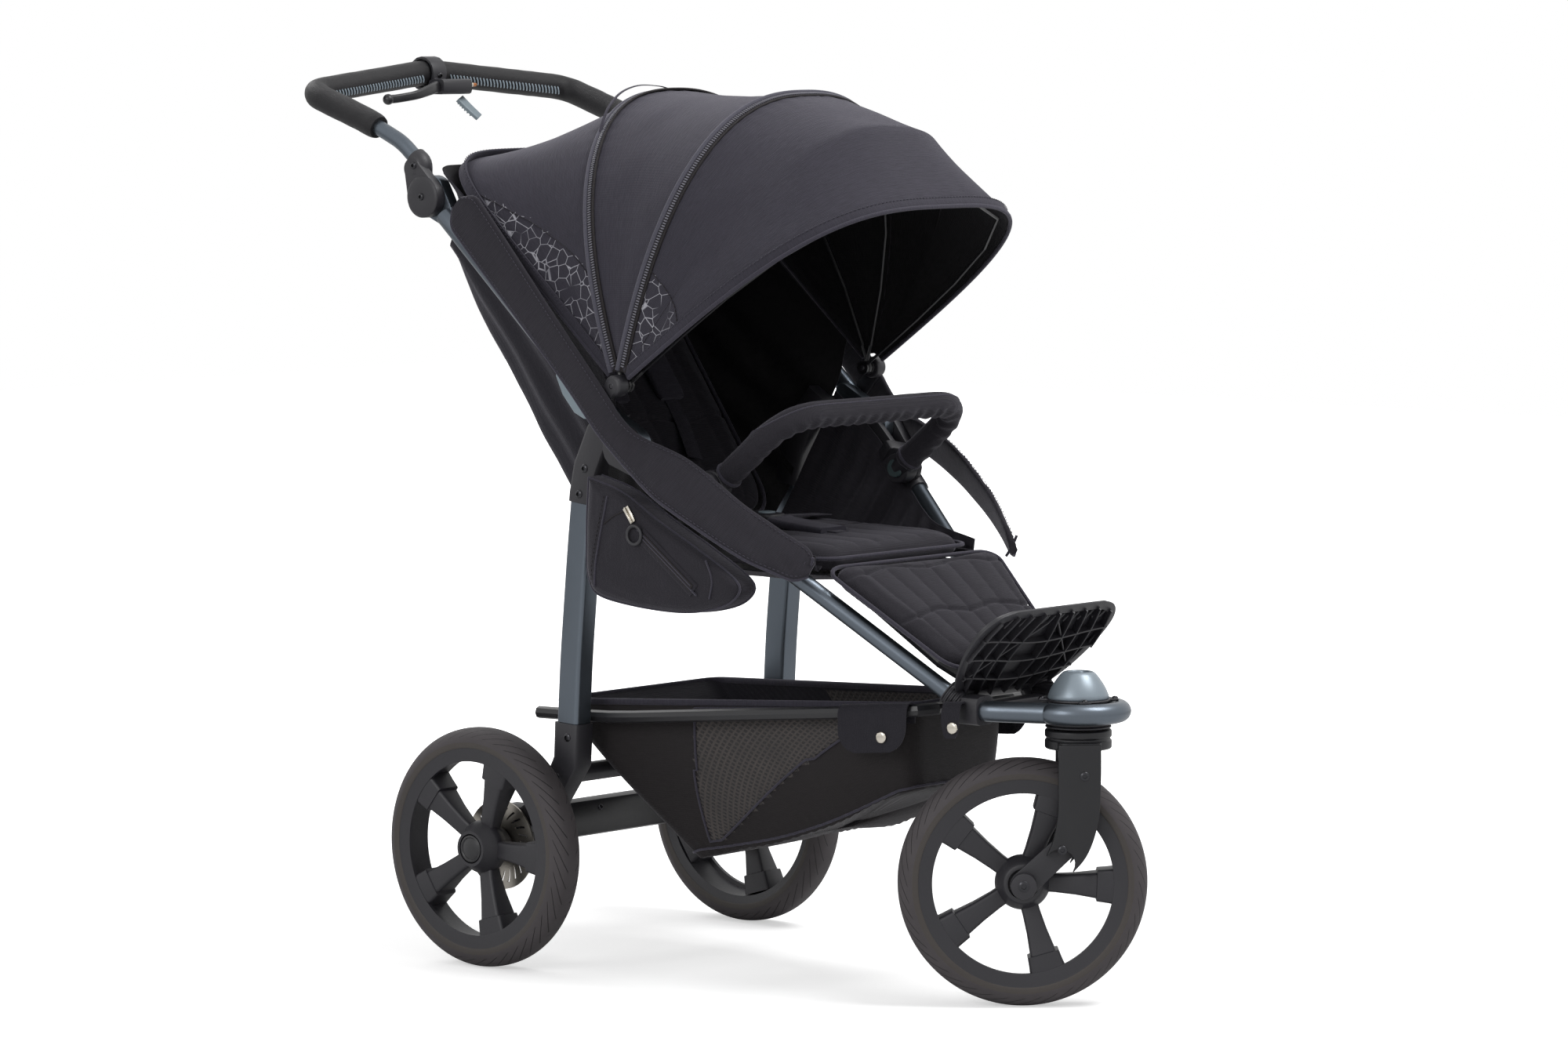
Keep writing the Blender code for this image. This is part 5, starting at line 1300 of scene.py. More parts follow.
def taut_cloth(seed, sag):
    """How far taut cloth stands off its ruled surface: sagging between the bows, puckered along the seams."""

    def depth(s, c, point):
        middle = math.sin(math.pi * s)
        hold = math.sin(math.pi * c) ** 0.5 if 0 < c < 1 else 0.0
        soft = noise.noise(Vector((c * 6.5 + seed, s * 2.2, seed)))
        soft += 0.5 * noise.noise(Vector((c * 15, s * 5, seed)))
        edge = min(s, 1 - s)
        wave = math.sin(c * 270 + 4 * noise.noise(Vector((c * 20, seed, 0))))
        return (soft * 0.0030 - sag) * middle * hold + wave * 0.0006 * math.exp(-edge * 12) * hold

    return depth


CANOPY_HEART = at(0, -0.226, 0.80)


def from_heart(point):
    return (point - CANOPY_HEART).normalized()


class STROLLER_OT_canopy(Operator):
    """Makes the canopy's three panels with their zips, piping, prints and hems"""

    bl_idname = "stroller.canopy"
    bl_label = "Canopy"

    def execute(self, context):
        rear_zip = self.zip_seam("canopy_rear_zip", REAR_ARCH, "canopy_rear_bow")
        front_zip = self.zip_seam("canopy_front_zip", FRONT_ARCH, "canopy_middle_bow")
        hem = self.hem("canopy_visor_hem", FRONT_EDGE, "canopy_front_bow", -1)
        rear_hem = self.hem("canopy_rear_hem", REAR_EDGE, "upper_frame", 1)
        gap = 0.30
        self.panel("canopy_rear_cloth", "canopy_rear_panel", (REAR_EDGE, beside(REAR_ARCH, -gap)), (18,),
                   ("upper_frame", "canopy_rear_bow"), 1.0, 0.006, [rear_hem],
                   lambda s, c: 2 if min(c, 1 - c) < mix(0.285, 0.115, s) else 0)
        self.panel("canopy_middle_cloth", "canopy_middle_panel",
                   (beside(REAR_ARCH, gap), beside(FRONT_ARCH, -gap)), (18,),
                   ("canopy_rear_bow", "canopy_middle_bow"), 5.0, 0.005, [rear_zip], None)
        self.panel("canopy_front_cloth", "canopy_front_panel",
                   (beside(FRONT_ARCH, gap), VISOR_SEAM, FRONT_EDGE), (11, 10),
                   ("canopy_middle_bow", "canopy_front_bow"), 9.0, 0.002, [front_zip, hem],
                   lambda s, c: 2 if min(c, 1 - c) < mix(0.135, 0.095, s) else 0)
        self.pull_loop()
        return {"FINISHED"}

    def panel(self, name, node, shapes, steps, bodies, seed, sag, trims, slot_of):
        """One cloth between arches, taut over the ruled surface between them."""
        flat = panel_rows(shapes, steps)
        rows = moved_out(flat, taut_cloth(seed, sag), CANOPY_HEART)
        bm = cloth_mesh(rows, 0.0020, CANOPY_HEART, slot_of)
        cloth = shown(name, bm, ["woven_polyester", "lining_taffeta", "printed_polyester"], smooth=60)
        start, end = (
            at(0, *polar(CANOPY_PIVOT, CANOPY_BLEND_REACH, shape[0])) for shape in (shapes[0], shapes[-1])
        )
        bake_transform(cloth)
        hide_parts(node)
        seams = self.seams(name, rows, bodies, start, end, slot_of)
        declare_sheet(flat)

    def seams(self, name, rows, bodies, start, end, slot_of):
        """The sewn line round the printed zone, or across the visor."""
        bm = bmesh.new()
        last, wide = len(rows) - 1, len(rows[0]) - 1
        lines = []
        if slot_of:
            for side in (0, 1):
                line = []
                for j, row in enumerate(rows):
                    edge = min(c for c in range(1, wide) if slot_of(min(j + 0.5, last) / last, c / wide) == 0)
                    line.append(row[edge] if side == 0 else row[wide - edge])
                lines.append(line)
        if "front" in name:
            lines.append(rows[11][4:-4])
        for line in lines:
            line = evenly([Vector(p) for p in line], 60)
            near = [[line[max(0, min(60, k + d))] for d in range(-4, 5)] for k in range(61)]
            smooth = [sum(points, Vector()) / 9 for points in near]
            smooth = [p + from_heart(p) * 0.0006 for p in smooth]
            sweep(smooth, rounded_rectangle(0.0007, 0.0016, 0.0003, 2), (0, 1, 0), bm=bm)
            stitch_row(bm, smooth, from_heart, CANOPY_STITCH, 1)
        if not lines:
            bm.free()
            return []
        sewn = shown(f"{name}_seam", bm, ["coated_polyester", "woven_polyester"])
        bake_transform(sewn)
        return [sewn]

    def zip_seam(self, name, shape, body):
        """A zip under its flap: tape, a corded edge and the teeth."""
        points, plane = arch(shape, ARCH_STEPS), across_arch(shape)
        bm = sweep(points, [(u, v - 0.0004) for u, v in rounded_rectangle(0.0170, 0.0016, 0.0007, 2)], plane)
        radius = bpy.context.scene.stroller_sizes.piping_radius
        cord = [(u * 1.15 - 0.0056, v - 0.0014) for u, v in circle(radius, 14)]
        sweep(points, cord, plane, bm=bm, slot=1)
        edge = [(u + 0.0074, v - 0.0010) for u, v in circle(0.0012, 8)]
        sweep(points, edge, plane, bm=bm)
        pitch = bpy.context.scene.stroller_sizes.tooth_pitch
        spots = evenly(points, int(length_of(points) / pitch))
        tooth = rounded_rectangle(0.0020, 0.0018, 0.0006, 1)
        for point, (along, across, up) in list(zip(spots, path_frames(spots, plane)))[2:-2]:
            middle = point + across * 0.0016 - up * 0.0020
            sweep([middle - across * 0.0024, middle + across * 0.0024], tooth, along, bm=bm, slot=2)
        return shown(name, bm, ["coated_polyester", "piping_tape", "zip_nylon"], body)

    def hem(self, name, shape, body, turn):
        """The bound edge: a folded band with a cord at its outer side and a row of stitches."""
        points, plane = arch(shape, ARCH_STEPS), across_arch(shape)
        band = [(u + turn * 0.0062, v) for u, v in rounded_rectangle(0.0135, 0.0032, 0.0013, 2)]
        bm = sweep(points, band, plane)
        sweep(points, [(u - turn * 0.0012, v) for u, v in circle(0.0027, 12)], plane, bm=bm, slot=1)
        line = [p + across * turn * 0.0110 - up * 0.0021 for p,
                (_, across, up) in zip(points, path_frames(points, plane))]
        stitch_row(bm, line[4:-4], from_heart, CANOPY_STITCH)
        return shown(name, bm, ["woven_polyester", "binding_tape"], body)

    def pull_loop(self):
        """A thin loop of tape over the crown, sewn down at both ends."""
        points = arch(REAR_ARCH, ARCH_STEPS)
        line = [points[k] for k in (100, 104, 110, 120, 132, 144, 150)]
        lift = (0.003, 0.010, 0.015, 0.0165, 0.013, 0.007, 0.003)
        line = through([p + Vector((0, 0.004, h)) for p, h in zip(line, lift)], 6)
        bm = sweep(line, rounded_rectangle(0.0040, 0.0012, 0.0005, 2), (0, 1, 0.4))
        shown("canopy_pull_loop", bm, "binding_tape", "canopy_rear_bow")


def band_line(side):
    return rounded_path([at(side * x, y, z) for x, y, z, _ in BAND_ROUTE], 0.045, 10)


def band_half_width(point):
    """Half of the band's width where its middle line passes this point."""
    for a, b in zip(BAND_ROUTE, BAND_ROUTE[1:]):
        share = (a[1] + REAR_AXLE_Y - point.y) / (a[1] - b[1])
        if share <= 1.0:
            return mix(a[3], b[3], ease(share)) / 2
    return BAND_ROUTE[-1][3] / 2


class STROLLER_OT_side_bands(Operator):
    """Makes the padded bands over the side tubes, with their piping and stitches"""

    bl_idname = "stroller.side_bands"
    bl_label = "Side bands"

    def execute(self, context):
        for name, side in SIDES:
            line = evenly(band_line(side), BAND_STEPS)
            frames = path_frames(line, (side, 0, 0))
            bm = bmesh.new()
            rings, lower, upper = [], [], []
            for k, (point, (along, across, up)) in enumerate(zip(line, frames)):
                t = k / BAND_STEPS
                # The ends are round, and the lower one lies back over the knee.
                end = min(k, BAND_STEPS - k) * length_of(line) / BAND_STEPS / 0.022
                half = band_half_width(point) * math.sqrt(max(0.16, 1 - max(0.0, 1 - end) ** 2))
                rise = up if up.z > 0 else -up
                turn = math.radians(36) * ease((t - 0.44) / 0.26) * (-1 if across.x * side > 0 else 1)
                cos, sin = math.cos(turn), math.sin(turn)
                across, rise = across * cos - rise * sin, rise * cos + across * sin
                puff = ease((t - 0.50) / 0.12)
                ring = []
                for u, v in circle(1.0, 40):
                    a, b = (math.copysign(abs(w) ** 0.62, w) for w in (u, v))
                    wave = noise.noise(Vector((t * 34 + b * 1.3, b * 1.1, side * 3))) * 0.0016 * puff
                    wave += noise.noise(Vector((t * 9, b * 0.8, side * 5))) * 0.0012
                    crown = 0.0043 + (wave + 0.0008 * puff if a > 0 else 0.0)
                    ring.append(point + across * a * crown + rise * b * half)
                rings.append(ring_of(bm, ring))
                lower.append(point - rise * half + across * 0.0010)
                upper.append(point + rise * (half - 0.0045) + across * 0.0046)
            capped(bm, rings)
            sweep(lower, circle(0.0021, 10), (side, 0, 0), bm=bm, slot=1)
            tip, (along, across, up) = line[-1], frames[-1]
            reach = (-0.016, -0.008, 0.0, 0.008, 0.016)
            end_line = [tip + up * w - along * (0.003 + 8 * w * w) for w in reach]
            sweep(end_line, circle(0.0019, 10), (side, 0, 0), bm=bm, slot=1)
            face = Vector((side * 0.0036, 0, 0))
            low = [p + (u - p).normalized() * 0.0055 + face for p, u in zip(lower, upper)]
            for run in (upper, low):
                stitch_row(bm, run, (side, 0, 0), BAND_STITCH, 1)
            beside_end = [p - along * 0.0080 + across * 0.0044 for p in end_line[1:-1]]
            stitch_row(bm, beside_end, across, BAND_STITCH, 1)
            band = shown(f"side_band_{name}_sewn", bm, ["padded_polyester", "binding_tape"], smooth=60)
            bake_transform(band)
            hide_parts(f"side_band_{name}")
        return {"FINISHED"}


def pad_frame(origin, degrees, flip=False):
    """Turns (across, along, up) on a pad into a point."""
    a = math.radians(degrees)
    ahead = Vector((0, math.cos(a), math.sin(a)))
    up = Vector((0, -math.sin(a), math.cos(a))) * (-1 if flip else 1)
    base = at(0, *origin)
    return lambda u, v, w: base + Vector((u, 0, 0)) + ahead * v + up * w


def finished_mesh(obj):
    """The object's mesh with its modifiers worked in."""
    graph = bpy.context.evaluated_depsgraph_get()
    mesh = bpy.data.meshes.new_from_object(obj.evaluated_get(graph))
    obj.modifiers.clear()
    obj.data = mesh
    return obj


def blown_up(obj, limit=0.005, voxel=0.005):
    """Fills the pad: an even skin, air pressure from inside, and a limit on how far a point may move."""
    remesh = obj.modifiers.new("even skin", "REMESH")
    remesh.mode, remesh.voxel_size = "VOXEL", voxel
    finished_mesh(obj)
    before = [v.co.copy() for v in obj.data.vertices]
    cloth = obj.modifiers.new("air pressure", "CLOTH")
    cloth.settings.quality = 5
    cloth.settings.mass = 0.3
    cloth.settings.use_pressure = True
    cloth.settings.uniform_pressure_force = 4.0
    cloth.settings.effector_weights.gravity = 0.0
    cloth.point_cache.frame_start, cloth.point_cache.frame_end = 1, 20
    for step in range(1, 21):
        bpy.context.scene.frame_set(step)
    finished_mesh(obj)
    bpy.context.scene.frame_set(1)
    for vertex, start in zip(obj.data.vertices, before):
        moved = vertex.co - start
        if moved.length > limit:
            vertex.co = start + moved.normalized() * limit
    finer = obj.modifiers.new("finer", "SUBSURF")
    finer.levels = finer.render_levels = 1
    return finished_mesh(obj)


def pad_outline(length, widths, inset, end_inset):
    """The (across, along) points of a pad's rounded outline, this far inside its edges."""
    points = []
    for a, b in rounded_rectangle(2, 2, 0.22, 6):
        v = (b + 1) / 2
        points.append((a * (mix(*widths, v) / 2 - inset), v * (length - 2 * end_inset) + end_inset))
    return points


def quilted(name, node, body, place, length, widths, thickness, channels, seams, belly):
    """A padded quilt: blown up from a slack form, then sewn into channels and crossed by seams."""
    shape = ((0.02, 0.012), (0.25, 0.003), (0.55, 0.002), (0.85, 0.008), (0.92, 0.022))
    levels = [(thickness * part, inset) for part, inset in shape]
    if belly:
        levels = [(-belly * 0.90, 0.070), (-belly * 0.70, 0.040), (-belly * 0.30, 0.014),
                  (0.0, 0.004)] + levels[1:]
    bm = bmesh.new()
    outlines = [(w, pad_outline(length, widths, inset, inset)) for w, inset in levels]
    capped(bm, [ring_of(bm, [(u, v, w) for u, v in outline]) for w, outline in outlines])
    bmesh.ops.recalc_face_normals(bm, faces=bm.faces)
    pad = place_object(name, mesh_of(name, bm), "woven_polyester_pad")
    blown_up(pad)
    for vertex in pad.data.vertices:
        u, v, w = vertex.co
        width = mix(*widths, v / length)
        across = u / width + 0.5
        top = ease((w / thickness - 0.45) / 0.30)
        inner = ease((min(across, 1 - across) - 0.02) / 0.05)
        inner *= ease((min(v, length - v) - 0.006) / 0.03)
        ridge = abs(math.sin(math.pi * channels * across)) ** 0.45
        w -= top * inner * 0.0026 * (1 - ridge)
        for part in seams:
            line = part * length + 0.0045 * math.sin(across * 5 * math.pi) + 0.006 * (across - 0.5) ** 2
            w -= top * 0.0038 * math.exp(-(((v - line) / 0.0030) ** 2))
        w += noise.noise(Vector((u * 22, v * 16, 3.1))) * 0.0014 * top
        if not belly:
            w = max(w, 0.0)
        vertex.co = place(u, v, w)
    pad.data.shade_smooth()
    pad.data.materials.clear()
    pad.data.materials.append(MATERIALS["woven_polyester_pad"])
    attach(pad, body)
    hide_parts(node)


def pad_piping(name, body, place, length, widths, height):
    """A corded seam round a pad's edge."""
    loop = [place(u, v, height) for u, v in pad_outline(length, widths, -0.0008, 0.0)]
    bm = sweep(loop + loop[:1], circle(0.0026, 10), place(0, 0, 1) - place(0, 0, 0))
    shown(name, bm, "binding_tape", body)


class STROLLER_OT_seat(Operator):
    """Makes the seat pad, backrest and leg rest pad, the cloth round them and the harness"""

    bl_idname = "stroller.seat"
    bl_label = "Seat"

    def execute(self, context):
        seat = pad_frame((-0.478, 0.5275), 1.0)
        back = pad_frame(polar(SEAT_HINGE, 0.012, BACKREST_ANGLE), BACKREST_ANGLE)
        leg = pad_frame((-0.487, 0.5265), -143.5, flip=True)
        # name, node, body, place, (length, widths), thickness, height of the piping, channels, seams, belly
        for name, node, body, place, size, thickness, height, channels, seams, belly in (
            ("seat_pad", "seat_pad", "lower_frame", seat, (0.325, (0.292, 0.320)), 0.032, 0.017, 7, (0.5,),
             0.0),
            ("backrest", "backrest", "backrest", back, (0.430, (0.320, 0.335)), 0.026, 0.014, 6, (0.33, 0.66),
             0.034),
            ("leg_rest", "leg_rest_pad", "leg_rest", leg, (0.198, (0.336, 0.218)), 0.024, 0.012, 8,
             (0.12, 0.55), 0.0),
        ):
            quilted(f"{name}_quilted", node, body, place, *size, thickness, channels, seams, belly)
            pad_piping(f"{name}_piping", body, place, *size, height)
        self.shell(back)
        self.side_walls()
        self.sling()
        self.harness(seat, back)
        return {"FINISHED"}

    def shell(self, back):
        """The cloth behind the backrest: it hangs from the canopy's rear edge and the tubes, in soft pleats."""

        def row_through(points):
            mirrored = [Vector((-p.x, p.y, p.z)) for p in points[-2::-1]]
            return evenly(through(points + mirrored, 10), 120)

        def hem_point(reach, x):
            return at(x, *polar(CANOPY_PIVOT, reach, REAR_EDGE[0] - 1.3))

        top = ((0.400, -0.2425), (0.4125, -0.2340), (0.4165, -0.2050), (0.4175, -0.1200), (0.4180, 0.0))
        rows = [row_through([hem_point(*spot) for spot in top])]
        for k in range(27):
            s = k / 26
            tube = at(-0.2145, mix(0.0750, -0.1900, s), mix(0.9640, 0.7250, s))
            v = mix(0.435, 0.000, s)
            hang = math.sin(math.pi * (0.15 + 0.7 * s))
            side = back(-0.172, v, 0.001)
            line = [hem_point(mix(0.385, 0.052, s), -0.2425), tube]
            line += [tube.lerp(side, 0.5) + Vector((0.001, 0.002, -0.002)), side]
            line += [back(-0.112, v, -0.032 * hang - 0.006), back(0.0, v, -0.040 * hang - 0.006)]
            rows.append(row_through(line))
        first = [[p.lerp(q, ease(k / 8)) for p, q in zip(rows[0], rows[1])] for k in range(1, 8)]
        rows = [rows[0], *first, *rows[1:]]
        heart = at(0, -0.20, 0.80)

        def pleats(s, c, point):
            side = min(c, 1 - c)
            strong = math.exp(-(((side - 0.20) / 0.13) ** 2))
            pleat = math.sin(c * 96 + 2.2 * math.sin(s * 4)) * 0.0036 * strong
            return (pleat + noise.noise(point * 16) * 0.0030) * ease(s * 5)

        bm = cloth_mesh(moved_out(rows, pleats, heart), 0.0018, heart)
        shell = shown("seat_back_cloth", bm, ["seat_back_cloth", "lining_taffeta"], smooth=70)
        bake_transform(shell)
        declare_sheet(rows)

    def side_walls(self):
        """The cloth between the seat pad and the lower tubes, gathered in a fan of folds."""
        for name, side in SIDES:
            high, low = (
                evenly(through([at(side * x, y, z) for x, y, z in line], steps), 72)
                for line, steps in ((WALL_TOP, 8), (WALL_FOOT, 10))
            )
            rows = []
            for k in range(21):
                droop = Vector((0, 0, -0.010 * math.sin(math.pi * k / 20)))
                rows.append([p.lerp(q, k / 20) + droop for p, q in zip(high, low)])
            heart = at(side * 0.60, -0.33, 0.60)

            def fan(s, c, point, seed=side):
                fold = math.sin(c * 62 + seed + 1.5 * noise.noise(Vector((c * 6, s, seed)))) * 0.0030
                fold *= math.sin(math.pi * min(1.0, s * 1.15))
                return (fold + noise.noise(point * 24) * 0.002) * ease(5 * min(s, 1 - s))

            bm = cloth_mesh(moved_out(rows, fan, heart), 0.0018, heart)
            wall = shown(f"seat_wall_{name}", bm, ["seat_cloth", "lining_taffeta"], smooth=70)
            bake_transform(wall)
            declare_sheet(rows)

    def sling(self):
        """The black cloth that is stretched under the seat pad."""
        rows = []
        for k in range(31):
            s = k / 30
            half, y = mix(0.158, 0.132, s), mix(-0.134, -0.466, s)
            row = []
            for n in range(49):
                c = n / 24 - 1
                hang = 0.021 * (1 - c * c) * math.sin(math.pi * (0.08 + 0.84 * s)) ** 0.5
                row.append(at(c * half, y, 0.5235 - hang + noise.noise(Vector((c * 3, s * 5, 7))) * 0.002))
            rows.append(row)
        bm = cloth_mesh(rows, 0.0016, at(0, -0.30, 0.70))
        sling = shown("seat_sling", bm, ["seat_back_cloth", "lining_taffeta"], "lower_frame",
                      smooth=60)
        declare_sheet(rows)

    def harness(self, seat, back):
        """The five-point harness: shoulder pads, waist straps, and a buckle on the crotch strap."""
        webbing = rounded_rectangle(0.0250, 0.0016, 0.0007, 2)
        bm = bmesh.new()
        pads = bmesh.new()
        for side in (-1, 1):
            line = [back(side * 0.052, v, 0.031) for v in (0.385, 0.300, 0.220, 0.140)]
            line.append(back(side * 0.030, 0.075, 0.040))
            sweep(through(line, 5), webbing, bm=bm)
            spots = ((0.350, 0.0335), (0.290, 0.0345), (0.230, 0.0345), (0.170, 0.0340))
            pad = through([back(side * 0.053, v, w) for v, w in spots], 6)
            scales = [0.90] + [1.0] * (len(pad) - 2) + [0.90]
            sweep(pad, rounded_rectangle(0.0480, 0.0090, 0.0042, 4), scales=scales, bm=pads)
            spots = ((0.150, 0.255, 0.036), (0.100, 0.235, 0.0400), (0.030, 0.225, 0.044))
            sweep(through([seat(side * u, v, w) for u, v, w in spots], 6), webbing, (0, 1, 0), bm=bm)
        spots = ((0.095, 0.0345), (0.140, 0.0365), (0.185, 0.0400), (0.215, 0.0445))
        crotch = through([seat(0, *spot) for spot in spots], 6)
        sweep(crotch, webbing, bm=bm)
        sweep(crotch[2:-3], rounded_rectangle(0.0500, 0.0100, 0.0048, 4), bm=pads)
        straps = shown("harness_straps", bm, "harness_webbing")
        cover = shown("harness_pads", pads, "woven_polyester", smooth=50)
        for piece in (straps, cover):
            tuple(seat(0, 0.290, 0.03))
            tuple(back(0, 0.090, 0.03))
            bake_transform(piece)
        buckle = [(a * (1.0 if b > 0 else 0.82), b) for a, b in rounded_rectangle(0.046, 0.056, 0.014, 5)]
        bm = extrude(buckle, 0.0395, 0.0500, lambda a, b, w: seat(a, b + 0.228, w))
        shown("harness_buckle", bm, "moulded_black_nylon", "lower_frame", edges=0.003,
              segments=3)
        button = rounded_rectangle(0.022, 0.018, 0.007, 5)
        bm = extrude(button, 0.0498, 0.0520, lambda a, b, w: seat(a, b + 0.222, w))
        shown("harness_release", bm, "moulded_grey_nylon", "lower_frame", edges=0.0007)


class STROLLER_OT_bumper(Operator):
    """Makes the bumper bar's gathered sleeve with its end fittings and buttons"""

    bl_idname = "stroller.bumper"
    bl_label = "Bumper bar"

    def execute(self, context):
        self.sleeve()
        cap = [(0.1712, 0.0), (0.1712, 0.0180), (0.1722, 0.0193), (0.1900, 0.0195), (0.1925, 0.0185),
               (0.1933, 0.0160)]
        cap.append((0.1933, 0.0))
        bm = bmesh.new()
        for side in (-1, 1):
            lathe([(x * side, r) for x, r in cap], at(0, *BUMPER_PIVOT), sides=48, bm=bm)
            sweep([at(side * 0.1800, *BUMPER_PIVOT), at(side * 0.1765, -0.3480, 0.6460)], circle(0.0150, 28),
                  bm=bm)
        shown("bumper_fittings", bm, "moulded_black_nylon", "bumper", edges=0.0006)
        for name, _ in SIDES:
            button = f"bumper_button_{name}"
            refined(button, f"{button}_moulded", "moulded_dark_button", 0.0012, 3)
        return {"FINISHED"}

    def sleeve(self):
        """The padded sleeve: gathered on its underside, seamed along its front and bound at both ends."""
        foot, top = (-0.342, 0.641), (-0.440, 0.722)
        corners = [(-BUMPER_X, *foot), (-BUMPER_X, *top), (BUMPER_X, *top), (BUMPER_X, *foot)]
        route = evenly(rounded_path([at(*p) for p in corners], 0.095, 16), SLEEVE_STEPS)
        bm = bmesh.new()
        rings, seam = [], []
        outward = Vector((0, -0.64, 0.77))
        for k, (point, (along, across, up)) in enumerate(zip(route, path_frames(route, (0, 0.64, 0.77)))):
            ring = []
            for u, v in circle(1.0, 36):
                out = across * u + up * v
                under = ease(-out.z * 1.6 + 0.1)
                phase = k * 0.62 + 2.5 * noise.noise(point * 30) + 3 * noise.noise(out * 2)
                gather = math.sin(phase) * 0.0009 * under
                soft = noise.noise(point * 22 + out) * 0.0007
                radius = SLEEVE_RADIUS + gather + soft - (0.0016 if k in (0, SLEEVE_STEPS) else 0.0)
                ring.append(point + out * radius)
            rings.append(ring_of(bm, ring))
            lean = (outward - along * outward.dot(along)).normalized()
            seam.append(point + lean * SLEEVE_RADIUS)
        capped(bm, rings)
        sweep(seam, circle(0.0011, 8), (1, 0, 0.3), bm=bm, slot=1)
        cuff = [(0.0024 * math.cos(a),
                 0.0170 + 0.0016 * math.sin(a)) for a in [math.pi * n / 4 for n in range(8)]]
        for start, onward in (route[3:5], route[-5:-3]):
            lathe(cuff, start, (onward - start).normalized(), 32, bm, 1)
        sleeve = shown("bumper_sleeve_gathered", bm, ["woven_polyester_pad", "binding_tape"], "bumper",
                       ("bumper_bar",), smooth=60)


